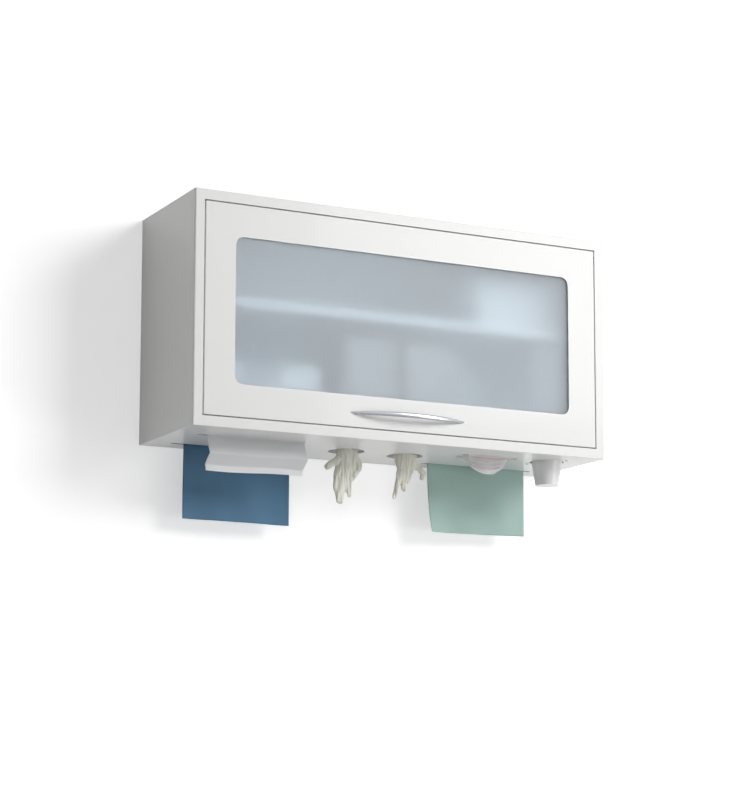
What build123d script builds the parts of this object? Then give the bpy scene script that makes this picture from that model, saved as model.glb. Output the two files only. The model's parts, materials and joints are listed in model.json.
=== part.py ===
from build123d import *
import os
from math import asin, atan2, cos, degrees, hypot, radians, sin, sqrt

os.makedirs("parts", exist_ok=True)

# Wall dispenser cabinet: a white steel case with a glazed flap door above a perforated outlet floor.
# Millimetres. X runs right as seen from the front, Y towards the wall, Z up.
# The origin is the centre of the case's back, where it meets the wall.

# Case
frame_width = 22.0        # thickness of the double-skinned sides and top, seen round the door
sheet = 1.2               # steel sheet of the case
edge_radius = 4.0         # outer upright front edges
rim_radius = 1.5          # outer level front edges
return_lip = 30.0         # depth of the lip that lines the door opening
floor_lip = 40.0          # depth of the lip along the front of the outlet floor
lip_hem = 8.0             # turned-down back edge of that lip
back_flange = 48.0        # width of the sides' flanges against the wall
bolt_inset = 36.0         # wall bolts, in from the sides
bolt_drop = 50.0          # wall bolts, in from the top and the underside
bolt_radius = 4.5

# Supplies
towel_width = 227.0
towel_stack_depth = 96.0
towel_stack_height = 122.0
blue_width = 252.0
green_width = 255.0
sheet_stack_depth = 88.0
sheet_stack_height = 232.0
paper = 0.8
towel_folds = ((0.0, 2.0), (-19.0, 39.0), (9.0, 59.0), (6.0, 73.0))  # reach from the slot, and drop
fold_radius = 2.0
towel_shift = 10.5        # the towel hangs right of its slot's middle
blue_shift = 6.5
green_shift = -2.0
blue_drop = 162.0         # below the case
green_drop = 155.0
glove_box_width = 125.0
glove_box_length = 238.0
glove_box_height = 75.0
glove_boxes_each = 3
mask_box_width = 188.0
mask_box_depth = 98.0
mask_box_height = 95.0
mask_loop_width = 110.0
mask_loop_drop = 41.0     # below the case
mask_loop_band = 16.0
mask_loop_depth = 30.0
mask_loop_shift = -3.0
carton_width = 216.0
carton_depth = 120.0
carton_height = 112.0
carton_side_gap = 54.0    # from the side liner
carton_front_gap = 30.0   # behind the shelf's front edge
board_radius = 1.0        # edges of the card boxes

# Gloves that hang out: half widths and half depths of the cuff, the wrist and the palm
glove_cuff = (27.0, 16.0)
glove_wrist = (24.0, 13.0)
glove_palm = (20.0, 11.0)
glove_wrist_drop = 18.0
glove_palm_drop = 45.0
finger_start = 6.0        # above the palm's end
finger_spread = 0.6       # share of a finger's offset at its root; the rest is its lean
finger_taper = 0.62
thumb_taper = 0.7
thumb_drop = 10.0

# Cups and their tube
cup_foot_radius = 26.0
cup_rim_radius = 37.0
cup_bead_reach = 1.0      # the rolled rim stands this far out
cup_bead = 2.0            # height of the rolled rim
cup_height = 70.0
cup_wall = 0.9
cup_rim_rise = 16.0       # the lowest cup's rim, above the underside of the case
cup_pitch = 6.5           # rise from one nested cup to the next
nested_cups = 8
cup_hole_gap = 1.0        # round the rim
tube_gap = 3.0            # from the hole to the tube's wall
tube_wall = 1.5
tube_shelf_gap = 8.0      # from the tube's mouth to the shelf
ring_edge = 1.5           # the ring stands this far outside the tube
ring_height = 10.0
lug_clearance = 0.3       # between the lowest cup's wall and the lugs under its rim
lug_count = 6
lug_width = 8.0
lug_root = 0.5
ring_screw_gap = 5.0      # from the ring's edge to its screws' middle
ring_screw_angle = 32.0   # from the depth axis
ring_boss_radius = 7.7
screw_head_radius = 3.5
screw_head_height = 1.8
screw_radius = 1.6
screw_clearance = 0.05
screw_length = 8.0

# Outlets in the floor
collar_height = 3.0       # drawn edge that stands up inside round each outlet
slot_width = 14.0
towel_slot_spare = 29.0   # the slot is this much longer than the towel is wide
sheet_slot_spare = 34.0
glove_hole_radius = 40.0
glove_offset = 7.5        # the pair of glove outlets stands this far right of the middle
mask_slot_length = 150.0
mask_slot_width = 58.0

# Holders that stand on the floor
holder_sheet = 1.0
holder_clearance = 1.5    # round what they hold
holder_tab = 9.0          # feet folded forward from the holders' front walls
holder_tab_width = 24.0
towel_holder_height = 150.0
sheet_holder_height = 200.0
box_holder_height = 60.0
thumb_notch_width = 90.0
thumb_notch_radius = 12.0
rack_gap = 15.0           # between the two glove racks

# Gaps across the floor, from the side liners inwards
sheet_side_gap = 25.3
sheet_inner_gap = 18.8    # to the middle bay, which holds the gloves
towel_side_gap = 26.3
cup_side_gap = 26.0
cup_mask_gap = 13.5
mask_inner_gap = 18.0

# Gaps along the floor's depth
glove_front_gap = 7.0     # behind the floor's lip
towel_front_gap = 16.5
mask_front_gap = 10.5
cup_front_gap = 13.0
towel_sheet_gap = 30.0    # between the towel magazine and the feet of the sheet magazines
glove_back_gap = 7.6      # in front of the back panel
sheet_back_gap = 8.1

# Room above the supplies
hand_room = 30.6          # from the sheets to the shelf's fold
carton_room = 78.0        # from the carton to the top liner

# Shelf
shelf_setback = 38.0      # its front edge behind the case's front
shelf_fold = 20.0
shelf_upstand = 15.0
shelf_clearance = 0.5
rail_width = 16.0
rail_height = 16.0
bend_radius = 2.0
wall_seat_gap = 0.3       # between the shelf and the back panel

# Door
door_gap = 2.5
door_thickness = 20.0
door_corner = 2.0
door_margin = 69.0        # from the door's edge to its window
window_radius = 19.0
pane_thickness = 4.0
pane_lap = 15.0           # how far the pane reaches behind the skin
gasket_front = 2.0
gasket_back = 1.5
gasket_web = 2.0
gasket_reveal = 4.0       # the gasket's lip stands this far outside the window
liner_reveal = 3.0        # the liner's inner edge stands this far outside the window
liner_wall = 19.0         # the liner's pressed wall stands this far outside the window
boss_radius = 4.0
boss_columns = 4
boss_inset = 34.0         # bosses, in from the door's sides
boss_drop = 16.0          # bosses, in from the door's top and bottom

# Hinges
hinge_depth = 7.0         # pin axis behind the door's face
hinge_drop = 14.0         # pin axis below the door's top edge
pin_radius = 2.5
pin_reach = 8.0           # into the side panel, from its lip
pin_inner = 14.0          # inside the door
bush_clearance = 0.05
bush_wall = 1.5
bush_flange = 1.4
bush_flange_radius = 5.4
bush_length = 9.0

# Handle
handle_length = 268.0
handle_reach = 26.0       # of the bow's axis in front of the door
handle_rise = 55.0        # above the underside of the case
handle_mid_height = 11.0
handle_mid_thickness = 8.0
handle_end_height = 4.0
handle_end_thickness = 3.6
handle_sections = 9
bow_overrun = 1.04        # the bow's ends run on behind the door's face and are cut off there
post_inset = 13.0
post_radius = 3.2
post_length = 6.5
post_bore = 4.2
screw_bottom_gap = 0.5

# Gas struts
strut_radius = 7.5
strut_bore = 6.3
strut_rod_radius = 3.0
strut_eye_radius = 6.5
strut_eye_width = 8.0
strut_stud_radius = 3.5
strut_from_side = 12.0    # strut axis, in from the side liner
strut_case_back = 150.0   # pivot on the case, behind the hinge and below it
strut_case_drop = 8.0
strut_door_back = 30.0    # pivot on the door
strut_door_drop = 40.0
strut_neck = 14.0         # from a pivot to the cylinder or to the rod's socket end
strut_front_gap = 9.0     # between the cylinder's nose and the rod's eye at rest
strut_guide = 9.0
strut_edge = 1.5
strut_neck_radius = 3.6
piston_length = 8.0
piston_start_gap = 3.0    # from the cylinder's closed end
open_angle = 90.0
stud_plate_length = 34.0
stud_plate_height = 24.0
stud_plate_corner = 5.0
stud_tip = 2.0            # the stud's end beyond the eye
bracket_plate_width = 18.0
bracket_plate_height = 24.0
bracket_stud_length = 4.0
base_plate = 2.0
ear_sheet = 2.0
open_pivot_gap = 0.3      # between the door's stud and the rod's eye, side by side

# Magnetic catches
catch_from_middle = 300.0
catch_width = 46.0
catch_height = 18.0
catch_corner = 2.0
catch_edge = 1.0
strike_width = 40.0
strike_height = 14.0
strike_sheet = 1.5
strike_corner = 1.5
catch_gap = 0.3

# Outer sizes of what stands on the floor
def holder_size(load):
    """Return the outer size of a holder round a load of the given size."""
    return load + 2 * (holder_clearance + holder_sheet)


collar_margin = 2 * (sheet + holder_clearance)
towel_slot_length = towel_width + towel_slot_spare
sheet_slot_length = max(blue_width, green_width) + sheet_slot_spare
towel_magazine_width = towel_slot_length + collar_margin + 2 * holder_sheet
sheet_magazine_width = sheet_slot_length + collar_margin + 2 * holder_sheet
glove_rack_width = holder_size(glove_box_width)
glove_pitch = glove_rack_width + rack_gap
cup_bead_radius = cup_rim_radius + cup_bead_reach
cup_hole_radius = cup_bead_radius + cup_hole_gap
tube_radius = cup_hole_radius + tube_gap
ring_radius = tube_radius + tube_wall + ring_edge
ring_screw_reach = ring_radius + ring_screw_gap

# The case takes its size from its bays: the sheets' or the masks' and cups' beside the gloves',
# and the gloves' or the towels' and sheets' from front to back
sheet_bay = sheet_side_gap + sheet_magazine_width + sheet_inner_gap
mask_bay = cup_side_gap + 2 * ring_radius + cup_mask_gap + holder_size(mask_box_width) + mask_inner_gap
case_width = 2 * (frame_width + max(sheet_bay, mask_bay)) + glove_pitch + glove_rack_width
glove_depth = glove_front_gap + holder_size(glove_box_length) + glove_back_gap
towel_depth = towel_front_gap + holder_size(towel_stack_depth) + towel_sheet_gap
sheet_depth = holder_tab + holder_size(sheet_stack_depth) + sheet_back_gap
case_depth = floor_lip + max(glove_depth, towel_depth + sheet_depth) + 2 * sheet
stack_height = max(sheet_stack_height, glove_boxes_each * glove_box_height)
shelf_height = sheet + collar_height + stack_height + hand_room + shelf_fold + sheet
case_height = shelf_height + carton_height + carton_room + frame_width
print("case", round(case_width, 3), round(case_depth, 3), round(case_height, 3))

# Places worked out from those sizes
half_width = case_width / 2
half_height = case_height / 2
front_y = -case_depth
inner_x = half_width - frame_width
opening_z = half_height - frame_width
floor_z = -half_height + sheet
stack_z = floor_z + collar_height
liner_x = inner_x + sheet
lip_back_y = front_y + return_lip
floor_lip_y = front_y + floor_lip
back_panel_y = -2 * sheet
shelf_z = -half_height + shelf_height
shelf_front_y = front_y + shelf_setback
bolt_x = half_width - bolt_inset
bolt_z = half_height - bolt_drop

towel_x = -inner_x + towel_side_gap + towel_magazine_width / 2
towel_y = floor_lip_y + towel_front_gap + holder_size(towel_stack_depth) / 2
green_x = inner_x - sheet_side_gap - sheet_magazine_width / 2
blue_x = -green_x
sheet_y = back_panel_y - sheet_back_gap - holder_size(sheet_stack_depth) / 2
glove_places = (("left", glove_offset - glove_pitch / 2), ("right", glove_offset + glove_pitch / 2))
glove_y = floor_lip_y + glove_front_gap + holder_size(glove_box_length) / 2
cup_x = inner_x - cup_side_gap - ring_radius
cup_y = floor_lip_y + cup_front_gap + ring_radius
mask_x = cup_x - ring_radius - cup_mask_gap - holder_size(mask_box_width) / 2
mask_y = floor_lip_y + mask_front_gap + holder_size(mask_box_depth) / 2

door_half_width = inner_x - door_gap
door_half_height = opening_z - door_gap
door_back_y = front_y + door_thickness
window_width = 2 * (door_half_width - door_margin)
window_height = 2 * (door_half_height - door_margin)
pane_front_y = front_y + sheet + gasket_front
pane_back_y = pane_front_y + pane_thickness
gasket_back_y = pane_back_y + gasket_back
hinge_y = front_y + hinge_depth
hinge_z = door_half_height - hinge_drop
handle_z = -half_height + handle_rise

sides = (("left", -1), ("right", 1))


def save(piece, name):
    """Label a finished piece and write it to its own STEP file."""
    piece.label = name
    export_step(piece, "parts/" + name + ".step")


def block(x_span, y_span, z_span, mode=Mode.ADD):
    """Add a rectangular block between pairs of coordinates to the part being built."""
    centre = tuple((low + high) / 2 for low, high in (x_span, y_span, z_span))
    size = tuple(abs(high - low) for low, high in (x_span, y_span, z_span))
    with Locations(centre):
        Box(*size, mode=mode)


# Sides: a pan folded from one sheet, open inwards, with a lip that lines the door opening
def build_side_panel(side):
    """Return one side pan of the case, left for side -1 and right for side 1."""
    with BuildPart() as panel:
        block(
            (side * half_width, side * inner_x),
            (front_y, 0),
            (-half_height, half_height),
        )
        front_edges = panel.edges().group_by(Axis.Y)[0]
        fillet(front_edges.filter_by(Axis.Z).sort_by(SortBy.DISTANCE)[-1:], edge_radius)
        fillet(panel.edges().group_by(Axis.Y)[0].filter_by(Axis.X), rim_radius)
        inner_face = panel.faces().filter_by(Axis.X).sort_by(Axis.X)
        offset(amount=-sheet, openings=inner_face[0 if side > 0 else -1])
        block(
            (side * inner_x, side * liner_x),
            (front_y, lip_back_y),
            (-half_height + rim_radius, half_height - rim_radius),
        )
        block(
            (side * inner_x, side * (half_width - back_flange)),
            (-sheet, 0),
            (-opening_z, opening_z),
        )
        with Locations(Plane((side * inner_x, hinge_y, hinge_z), x_dir=(0, 1, 0), z_dir=(side, 0, 0))):
            Hole(pin_radius + bush_clearance + bush_wall, depth=2 * sheet)
        with Locations(Plane.XZ):
            with Locations((side * bolt_x, bolt_z), (side * bolt_x, -bolt_z)):
                Hole(bolt_radius)
    return panel.part


def build_side_liner(side):
    """Return the flat inner sheet of one side, from the door lip to the back flange."""
    with BuildPart() as liner:
        block(
            (side * inner_x, side * liner_x),
            (lip_back_y, -sheet),
            (-half_height + sheet, half_height - sheet),
        )
    return liner.part


for name, side in sides:
    save(build_side_panel(side), name + "_side_panel")
    save(build_side_liner(side), name + "_side_liner")

# Top: a pan between the sides, closed below by its own liner
with BuildPart() as top_panel:
    block((-inner_x, inner_x), (front_y, 0), (opening_z, half_height))
    fillet(top_panel.edges().filter_by(Axis.X).group_by(Axis.Y)[0].sort_by(Axis.Z)[-1], rim_radius)
    offset(amount=-sheet, openings=top_panel.faces().sort_by(Axis.Z)[0])
    block((-inner_x, inner_x), (front_y, lip_back_y), (opening_z, opening_z + sheet))
save(top_panel.part, "top_panel")

with BuildPart() as top_liner:
    block((-inner_x + sheet, inner_x - sheet), (lip_back_y, -sheet), (opening_z, opening_z + sheet))
save(top_liner.part, "top_liner")

with BuildPart() as back_panel:
    block((sheet - inner_x, inner_x - sheet), (back_panel_y, -sheet), (floor_z, opening_z))
    with Locations(Plane.XZ):
        with GridLocations(2 * bolt_x, 2 * bolt_z, 2, 2):
            Hole(bolt_radius)
save(back_panel.part, "back_panel")


# Outlet floor: a pan between the sides, with a drawn collar round every slot and hole
def outlet_outlines(grow):
    """Draw every outlet of the floor in the sketch being built, each grown by the given amount."""
    with Locations((towel_x, towel_y)):
        SlotOverall(towel_slot_length + 2 * grow, slot_width + 2 * grow)
    with Locations((blue_x, sheet_y), (green_x, sheet_y)):
        SlotOverall(sheet_slot_length + 2 * grow, slot_width + 2 * grow)
    with Locations(*[(x, glove_y) for name, x in glove_places]):
        Circle(glove_hole_radius + grow)
    with Locations((mask_x, mask_y)):
        SlotOverall(mask_slot_length + 2 * grow, mask_slot_width + 2 * grow)
    with Locations((cup_x, cup_y)):
        Circle(cup_hole_radius + grow)


ring_screw_dx = ring_screw_reach * sin(radians(ring_screw_angle))
ring_screw_dy = ring_screw_reach * cos(radians(ring_screw_angle))
ring_screw_places = (
    (cup_x + ring_screw_dx, cup_y - ring_screw_dy),
    (cup_x - ring_screw_dx, cup_y + ring_screw_dy),
)

with BuildPart() as bottom_panel:
    block((-inner_x, inner_x), (front_y, 0), (-half_height, -opening_z))
    fillet(bottom_panel.edges().filter_by(Axis.X).group_by(Axis.Y)[0].sort_by(Axis.Z)[0], rim_radius)
    offset(amount=-sheet, openings=bottom_panel.faces().sort_by(Axis.Z)[-1])
    block((-inner_x, inner_x), (front_y, floor_lip_y), (-opening_z - sheet, -opening_z))
    block(
        (-inner_x, inner_x),
        (floor_lip_y - sheet, floor_lip_y),
        (-opening_z - lip_hem, -opening_z),
    )
    with BuildSketch(Plane.XY.offset(-half_height)):
        outlet_outlines(sheet)
    extrude(amount=sheet + collar_height)
    with BuildSketch(Plane.XY.offset(-half_height)):
        outlet_outlines(0)
    extrude(amount=sheet + collar_height, mode=Mode.SUBTRACT)
    with BuildSketch(Plane.XY.offset(-half_height)):
        with Locations(*ring_screw_places):
            Circle(screw_radius + screw_clearance)
    extrude(amount=sheet, mode=Mode.SUBTRACT)
save(bottom_panel.part, "bottom_panel")


# Holders: open sleeves of thin sheet that keep each stack or box over its outlet
def build_holder(x, y, inner_width, inner_depth, height, notched):
    """Return a sleeve of the given inner size, with two tabs folded forward onto the floor."""
    tab_reach = inner_width / 2 - holder_tab_width / 2
    tab_y = y - inner_depth / 2 - holder_sheet - holder_tab / 2
    with BuildPart() as holder:
        with BuildSketch(Plane.XY.offset(floor_z)):
            with Locations((x, y)):
                Rectangle(inner_width + 2 * holder_sheet, inner_depth + 2 * holder_sheet)
                Rectangle(inner_width, inner_depth, mode=Mode.SUBTRACT)
        extrude(amount=height)
        with BuildSketch(Plane.XY.offset(floor_z)):
            with Locations((x - tab_reach, tab_y), (x + tab_reach, tab_y)):
                Rectangle(holder_tab_width, holder_tab)
        extrude(amount=holder_sheet)
        if notched:
            front = Plane((x, y - inner_depth / 2, floor_z + height), x_dir=(1, 0, 0), z_dir=(0, -1, 0))
            with BuildSketch(front):
                RectangleRounded(thumb_notch_width, height, thumb_notch_radius)
            extrude(amount=2 * holder_sheet, both=True, mode=Mode.SUBTRACT)
    return holder.part


def round_load(size):
    """Return the inner size of a holder round a load of the given size."""
    return size + 2 * holder_clearance


towel_length = towel_slot_length + collar_margin
towel_depth_inside = round_load(towel_stack_depth)
save(
    build_holder(towel_x, towel_y, towel_length, towel_depth_inside, towel_holder_height, True),
    "towel_magazine",
)
sheet_length = sheet_slot_length + collar_margin
sheet_depth_inside = round_load(sheet_stack_depth)
for name, x in (("blue", blue_x), ("green", green_x)):
    save(
        build_holder(x, sheet_y, sheet_length, sheet_depth_inside, sheet_holder_height, True),
        name + "_sheet_magazine",
    )
rack_width = round_load(glove_box_width)
rack_length = round_load(glove_box_length)
for name, x in glove_places:
    save(build_holder(x, glove_y, rack_width, rack_length, box_holder_height, False), name + "_glove_rack")
mask_rack_width = round_load(mask_box_width)
mask_rack_depth = round_load(mask_box_depth)
save(
    build_holder(mask_x, mask_y, mask_rack_width, mask_rack_depth, box_holder_height, False),
    "mask_rack",
)


# Supplies inside: closed stacks and card boxes that stand on the outlets' collars
def build_load(x, y, width, depth, height, count=1, base=stack_z, radius=board_radius):
    """Return a pile of equal closed boxes, each its own solid."""
    with BuildPart() as load:
        with Locations(*[(x, y, base + height * (row + 0.5)) for row in range(count)]):
            Box(width, depth, height)
        fillet(load.edges().filter_by(Axis.Z), radius)
    return load.part


save(
    build_load(towel_x + towel_shift, towel_y, towel_width, towel_stack_depth, towel_stack_height),
    "towel_stack",
)
save(
    build_load(blue_x + blue_shift, sheet_y, blue_width, sheet_stack_depth, sheet_stack_height),
    "blue_stack",
)
save(
    build_load(green_x + green_shift, sheet_y, green_width, sheet_stack_depth, sheet_stack_height),
    "green_stack",
)
for name, x in glove_places:
    boxes = []
    for row in range(glove_boxes_each):
        box = build_load(
            x,
            glove_y,
            glove_box_width,
            glove_box_length,
            glove_box_height,
            base=stack_z + row * glove_box_height,
        )
        boxes.append(box.solid())
    save(Compound(children=boxes), name + "_glove_boxes")
save(build_load(mask_x, mask_y, mask_box_width, mask_box_depth, mask_box_height), "mask_box")
save(
    build_load(
        inner_x - carton_side_gap - carton_width / 2,
        shelf_front_y + carton_front_gap + carton_depth / 2,
        carton_width,
        carton_depth,
        carton_height,
        base=shelf_z,
    ),
    "spare_carton",
)


# What hangs out of the outlets: plain closed solids that carry the true outlines
def build_hanging_sheet(x, y, width, drop):
    """Return a flat sheet that hangs from the foot of its stack."""
    with BuildPart() as hanging:
        block((x - width / 2, x + width / 2), (y - paper / 2, y + paper / 2), (-half_height - drop, stack_z))
    return hanging.part


save(build_hanging_sheet(blue_x + blue_shift, sheet_y, blue_width, blue_drop), "blue_sheet")
save(build_hanging_sheet(green_x + green_shift, sheet_y, green_width, green_drop), "green_sheet")

towel_run = [(towel_y, stack_z)] + [(towel_y + reach, -half_height - drop) for reach, drop in towel_folds]
with BuildPart() as hanging_towel:
    with BuildSketch(Plane.YZ.offset(towel_x + towel_shift)):
        with BuildLine():
            FilletPolyline(*towel_run, radius=fold_radius)
        trace(line_width=paper)
    extrude(amount=towel_width / 2, both=True)
save(hanging_towel.part, "hanging_towel")


def build_glove(x, y, fingers, thumb):
    """Return a limp glove: a cuff that narrows to a palm, with tapered fingers and a thumb.

    Each finger is (offset right, offset back, length, root radius), and the thumb is
    (reach right, fall, root radius).
    """
    palm_z = -half_height - glove_palm_drop
    with BuildPart() as glove:
        for z, half_sizes in (
            (stack_z, glove_cuff),
            (-half_height - glove_wrist_drop, glove_wrist),
            (palm_z, glove_palm),
        ):
            with BuildSketch(Plane.XY.offset(z)):
                with Locations((x, y)):
                    Ellipse(*half_sizes)
        loft()
        for dx, dy, length, root in fingers:
            start = (x + dx * finger_spread, y + dy * finger_spread, palm_z + finger_start)
            lean = (dx * (1 - finger_spread), dy * (1 - finger_spread), -length)
            base = Plane(start, z_dir=lean)
            with BuildSketch(base):
                Circle(root)
            with BuildSketch(base.offset(length)):
                Circle(root * finger_taper)
            loft()
        reach, fall, root = thumb
        base = Plane((x + reach / 4, y, -half_height - thumb_drop), z_dir=(reach, 0, -fall))
        with BuildSketch(base):
            Circle(root)
        with BuildSketch(base.offset(hypot(reach, fall) * 3 / 4)):
            Circle(root * thumb_taper)
        loft()
    return glove.part


left_glove_fingers = ((-6.0, -3.0, 78.0, 9.5), (6.0, 3.0, 60.0, 9.0), (14.0, -2.0, 42.0, 8.0))
right_glove_fingers = ((-26.0, -2.0, 56.0, 8.0), (-2.0, 3.0, 34.0, 8.5), (12.0, 4.0, 26.0, 8.0))
glove_poses = ((left_glove_fingers, (-57.0, 33.0, 8.0)), (right_glove_fingers, (44.0, 44.0, 8.0)))
for (name, x), (fingers, thumb) in zip(glove_places, glove_poses):
    save(build_glove(x, glove_y, fingers, thumb), name + "_glove")

mask_loop_x = mask_x + mask_loop_shift
mask_arm_reach = (mask_loop_width - mask_loop_band) / 2
mask_arm_z = (stack_z - half_height) / 2
with BuildPart() as mask_loop:
    with BuildSketch(Plane.XZ.offset(-mask_y)):
        with Locations((mask_loop_x, -half_height)):
            Ellipse(mask_loop_width / 2, mask_loop_drop)
            Ellipse(mask_loop_width / 2 - mask_loop_band, mask_loop_drop - mask_loop_band, mode=Mode.SUBTRACT)
        with Locations((mask_loop_x, -half_height + mask_loop_drop)):
            Rectangle(2 * mask_loop_width, 2 * mask_loop_drop, mode=Mode.SUBTRACT)
        with Locations((mask_loop_x - mask_arm_reach, mask_arm_z), (mask_loop_x + mask_arm_reach, mask_arm_z)):
            Rectangle(mask_loop_band, stack_z + half_height)
    extrude(amount=mask_loop_depth / 2, both=True)
save(mask_loop.part, "mask_loop")


# Cups: a nested stack in a tube, the lowest hanging by its rim on the ring's lugs
cup_foot_z = -half_height + cup_rim_rise - cup_height


def build_cup(foot_z):
    """Return one thin tapered cup with a rolled rim, its foot at the given height."""
    lean = (cup_rim_radius - cup_foot_radius) / (cup_height - cup_bead)
    bead_z = foot_z + cup_height - cup_bead
    with BuildPart() as cup:
        with BuildSketch(Plane.XZ):
            with BuildLine():
                Polyline(
                    (0, foot_z),
                    (cup_foot_radius, foot_z),
                    (cup_rim_radius, bead_z),
                    (cup_bead_radius, bead_z),
                    (cup_bead_radius, bead_z + cup_bead),
                    (cup_rim_radius + lean * cup_bead - cup_wall, bead_z + cup_bead),
                    (cup_foot_radius + lean * cup_wall - cup_wall, foot_z + cup_wall),
                    (0, foot_z + cup_wall),
                    (0, foot_z),
                )
            make_face()
        revolve(axis=Axis.Z)
    return cup.part.solid().moved(Location((cup_x, cup_y, 0)))


save(Part(children=[build_cup(cup_foot_z)]), "dispensed_cup")
save(
    Compound(children=[build_cup(cup_foot_z + cup_pitch * row) for row in range(1, nested_cups + 1)]),
    "cup_stack",
)

ring_top_z = floor_z + ring_height
lug_z = cup_foot_z + cup_height - cup_bead
lug_radius = cup_rim_radius + lug_clearance
with BuildPart() as cup_ring:
    with BuildSketch(Plane.XY.offset(floor_z)):
        with Locations((cup_x, cup_y)):
            Circle(ring_radius)
        with Locations(*ring_screw_places):
            Circle(ring_boss_radius)
        with Locations((cup_x, cup_y)):
            Circle(cup_hole_radius + sheet + screw_clearance, mode=Mode.SUBTRACT)
        with Locations(*ring_screw_places):
            Circle(screw_radius + screw_clearance, mode=Mode.SUBTRACT)
    extrude(amount=ring_height)
    with BuildSketch(Plane.XY.offset(stack_z)):
        with Locations((cup_x, cup_y)):
            Circle(cup_hole_radius + sheet + screw_clearance)
            Circle(cup_hole_radius, mode=Mode.SUBTRACT)
    extrude(amount=ring_top_z - stack_z)
    with BuildSketch(Plane.XY.offset(stack_z)):
        with Locations((cup_x, cup_y)):
            with PolarLocations((cup_hole_radius + lug_radius) / 2, lug_count):
                Rectangle(cup_hole_radius - lug_radius + 2 * lug_root, lug_width)
            Circle(lug_radius, mode=Mode.SUBTRACT)
    extrude(amount=lug_z - stack_z)
save(cup_ring.part, "cup_ring")

tube_top_z = shelf_z - sheet - shelf_fold - tube_shelf_gap
with BuildPart() as cup_tube:
    with BuildSketch(Plane.XY.offset(ring_top_z)):
        with Locations((cup_x, cup_y)):
            Circle(tube_radius + tube_wall)
            Circle(tube_radius, mode=Mode.SUBTRACT)
    extrude(amount=tube_top_z - ring_top_z)
save(cup_tube.part, "cup_tube")


def build_screw(x, y, z, length):
    """Return a pan-head screw whose head hangs below the given point and whose shank rises from it."""
    with BuildPart() as screw:
        with BuildSketch(Plane.XY.offset(z)):
            with Locations((x, y)):
                Circle(screw_head_radius)
        extrude(amount=-screw_head_height)
        fillet(screw.edges().sort_by(Axis.Z)[0], screw_head_height / 2)
        with BuildSketch(Plane.XY.offset(z)):
            with Locations((x, y)):
                Circle(screw_radius)
        extrude(amount=length)
    return screw.part.solid()


save(
    Compound(children=[build_screw(x, y, -half_height, screw_length) for x, y in ring_screw_places]),
    "cup_ring_screws",
)

# Shelf: one folded sheet on two angle rails
shelf_run = [
    (shelf_front_y + sheet / 2 + lip_hem, shelf_z - shelf_fold + sheet / 2),
    (shelf_front_y + sheet / 2, shelf_z - shelf_fold + sheet / 2),
    (shelf_front_y + sheet / 2, shelf_z - sheet / 2),
    (back_panel_y - wall_seat_gap - sheet / 2, shelf_z - sheet / 2),
    (back_panel_y - wall_seat_gap - sheet / 2, shelf_z - sheet / 2 + shelf_upstand),
]
with BuildPart() as shelf:
    with BuildSketch(Plane.YZ):
        with BuildLine():
            FilletPolyline(*shelf_run, radius=bend_radius)
        trace(line_width=sheet)
    extrude(amount=inner_x - shelf_clearance, both=True)
save(shelf.part, "shelf")


def build_shelf_rail(side):
    """Return one angle rail, fixed to the side liner, that the shelf rests on."""
    seat_z = shelf_z - sheet
    rail_ends = (shelf_front_y + 2 * bend_radius, back_panel_y)
    with BuildPart() as rail:
        block((side * inner_x, side * (inner_x - rail_width)), rail_ends, (seat_z - sheet, seat_z))
        block((side * inner_x, side * (inner_x - sheet)), rail_ends, (seat_z - rail_height, seat_z))
    return rail.part


for name, side in sides:
    save(build_shelf_rail(side), name + "_shelf_rail")

# Door: a folded skin with a window, a pressed liner, and a pane held between them in its gasket
boss_places = [
    ((column / (boss_columns - 1) * 2 - 1) * (door_half_width - boss_inset), row)
    for column in range(boss_columns)
    for row in (boss_drop - door_half_height, door_half_height - boss_drop)
]


def outline(grow):
    """Draw the window's outline, grown by the given amount, in the sketch being built."""
    RectangleRounded(window_width + 2 * grow, window_height + 2 * grow, window_radius + grow)


def facing(y):
    """Return the plane at the given depth that faces the wall, with Z up in its own frame."""
    return Plane((0, y, 0), x_dir=(-1, 0, 0), z_dir=(0, 1, 0))


with BuildPart() as door_skin:
    block(
        (-door_half_width, door_half_width),
        (front_y, door_back_y),
        (-door_half_height, door_half_height),
    )
    fillet(door_skin.edges().filter_by(Axis.Y), door_corner)
    fillet(door_skin.faces().sort_by(Axis.Y)[0].edges(), rim_radius)
    offset(amount=-sheet, openings=door_skin.faces().sort_by(Axis.Y)[-1])
    with BuildSketch(facing(front_y + sheet)):
        with Locations(*boss_places):
            Circle(boss_radius)
    extrude(amount=door_thickness - 2 * sheet)
    with BuildSketch(facing(front_y)):
        outline(0)
    extrude(amount=door_thickness, mode=Mode.SUBTRACT)
    with BuildSketch(facing(door_back_y - sheet)):
        with Locations(*boss_places):
            Circle(screw_radius + screw_clearance)
    extrude(amount=-screw_length - screw_clearance, mode=Mode.SUBTRACT)
    for side in (-1, 1):
        with BuildSketch(Plane.YZ.offset(side * door_half_width)):
            with Locations((hinge_y, hinge_z)):
                Circle(pin_radius)
        extrude(amount=-side * 2 * sheet, mode=Mode.SUBTRACT)
    with BuildSketch(facing(front_y)):
        with Locations(*[(end * (handle_length / 2 - post_inset), handle_z) for end in (-1, 1)]):
            Circle(screw_radius + screw_clearance)
    extrude(amount=sheet, mode=Mode.SUBTRACT)
save(door_skin.part, "door_skin")

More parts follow.
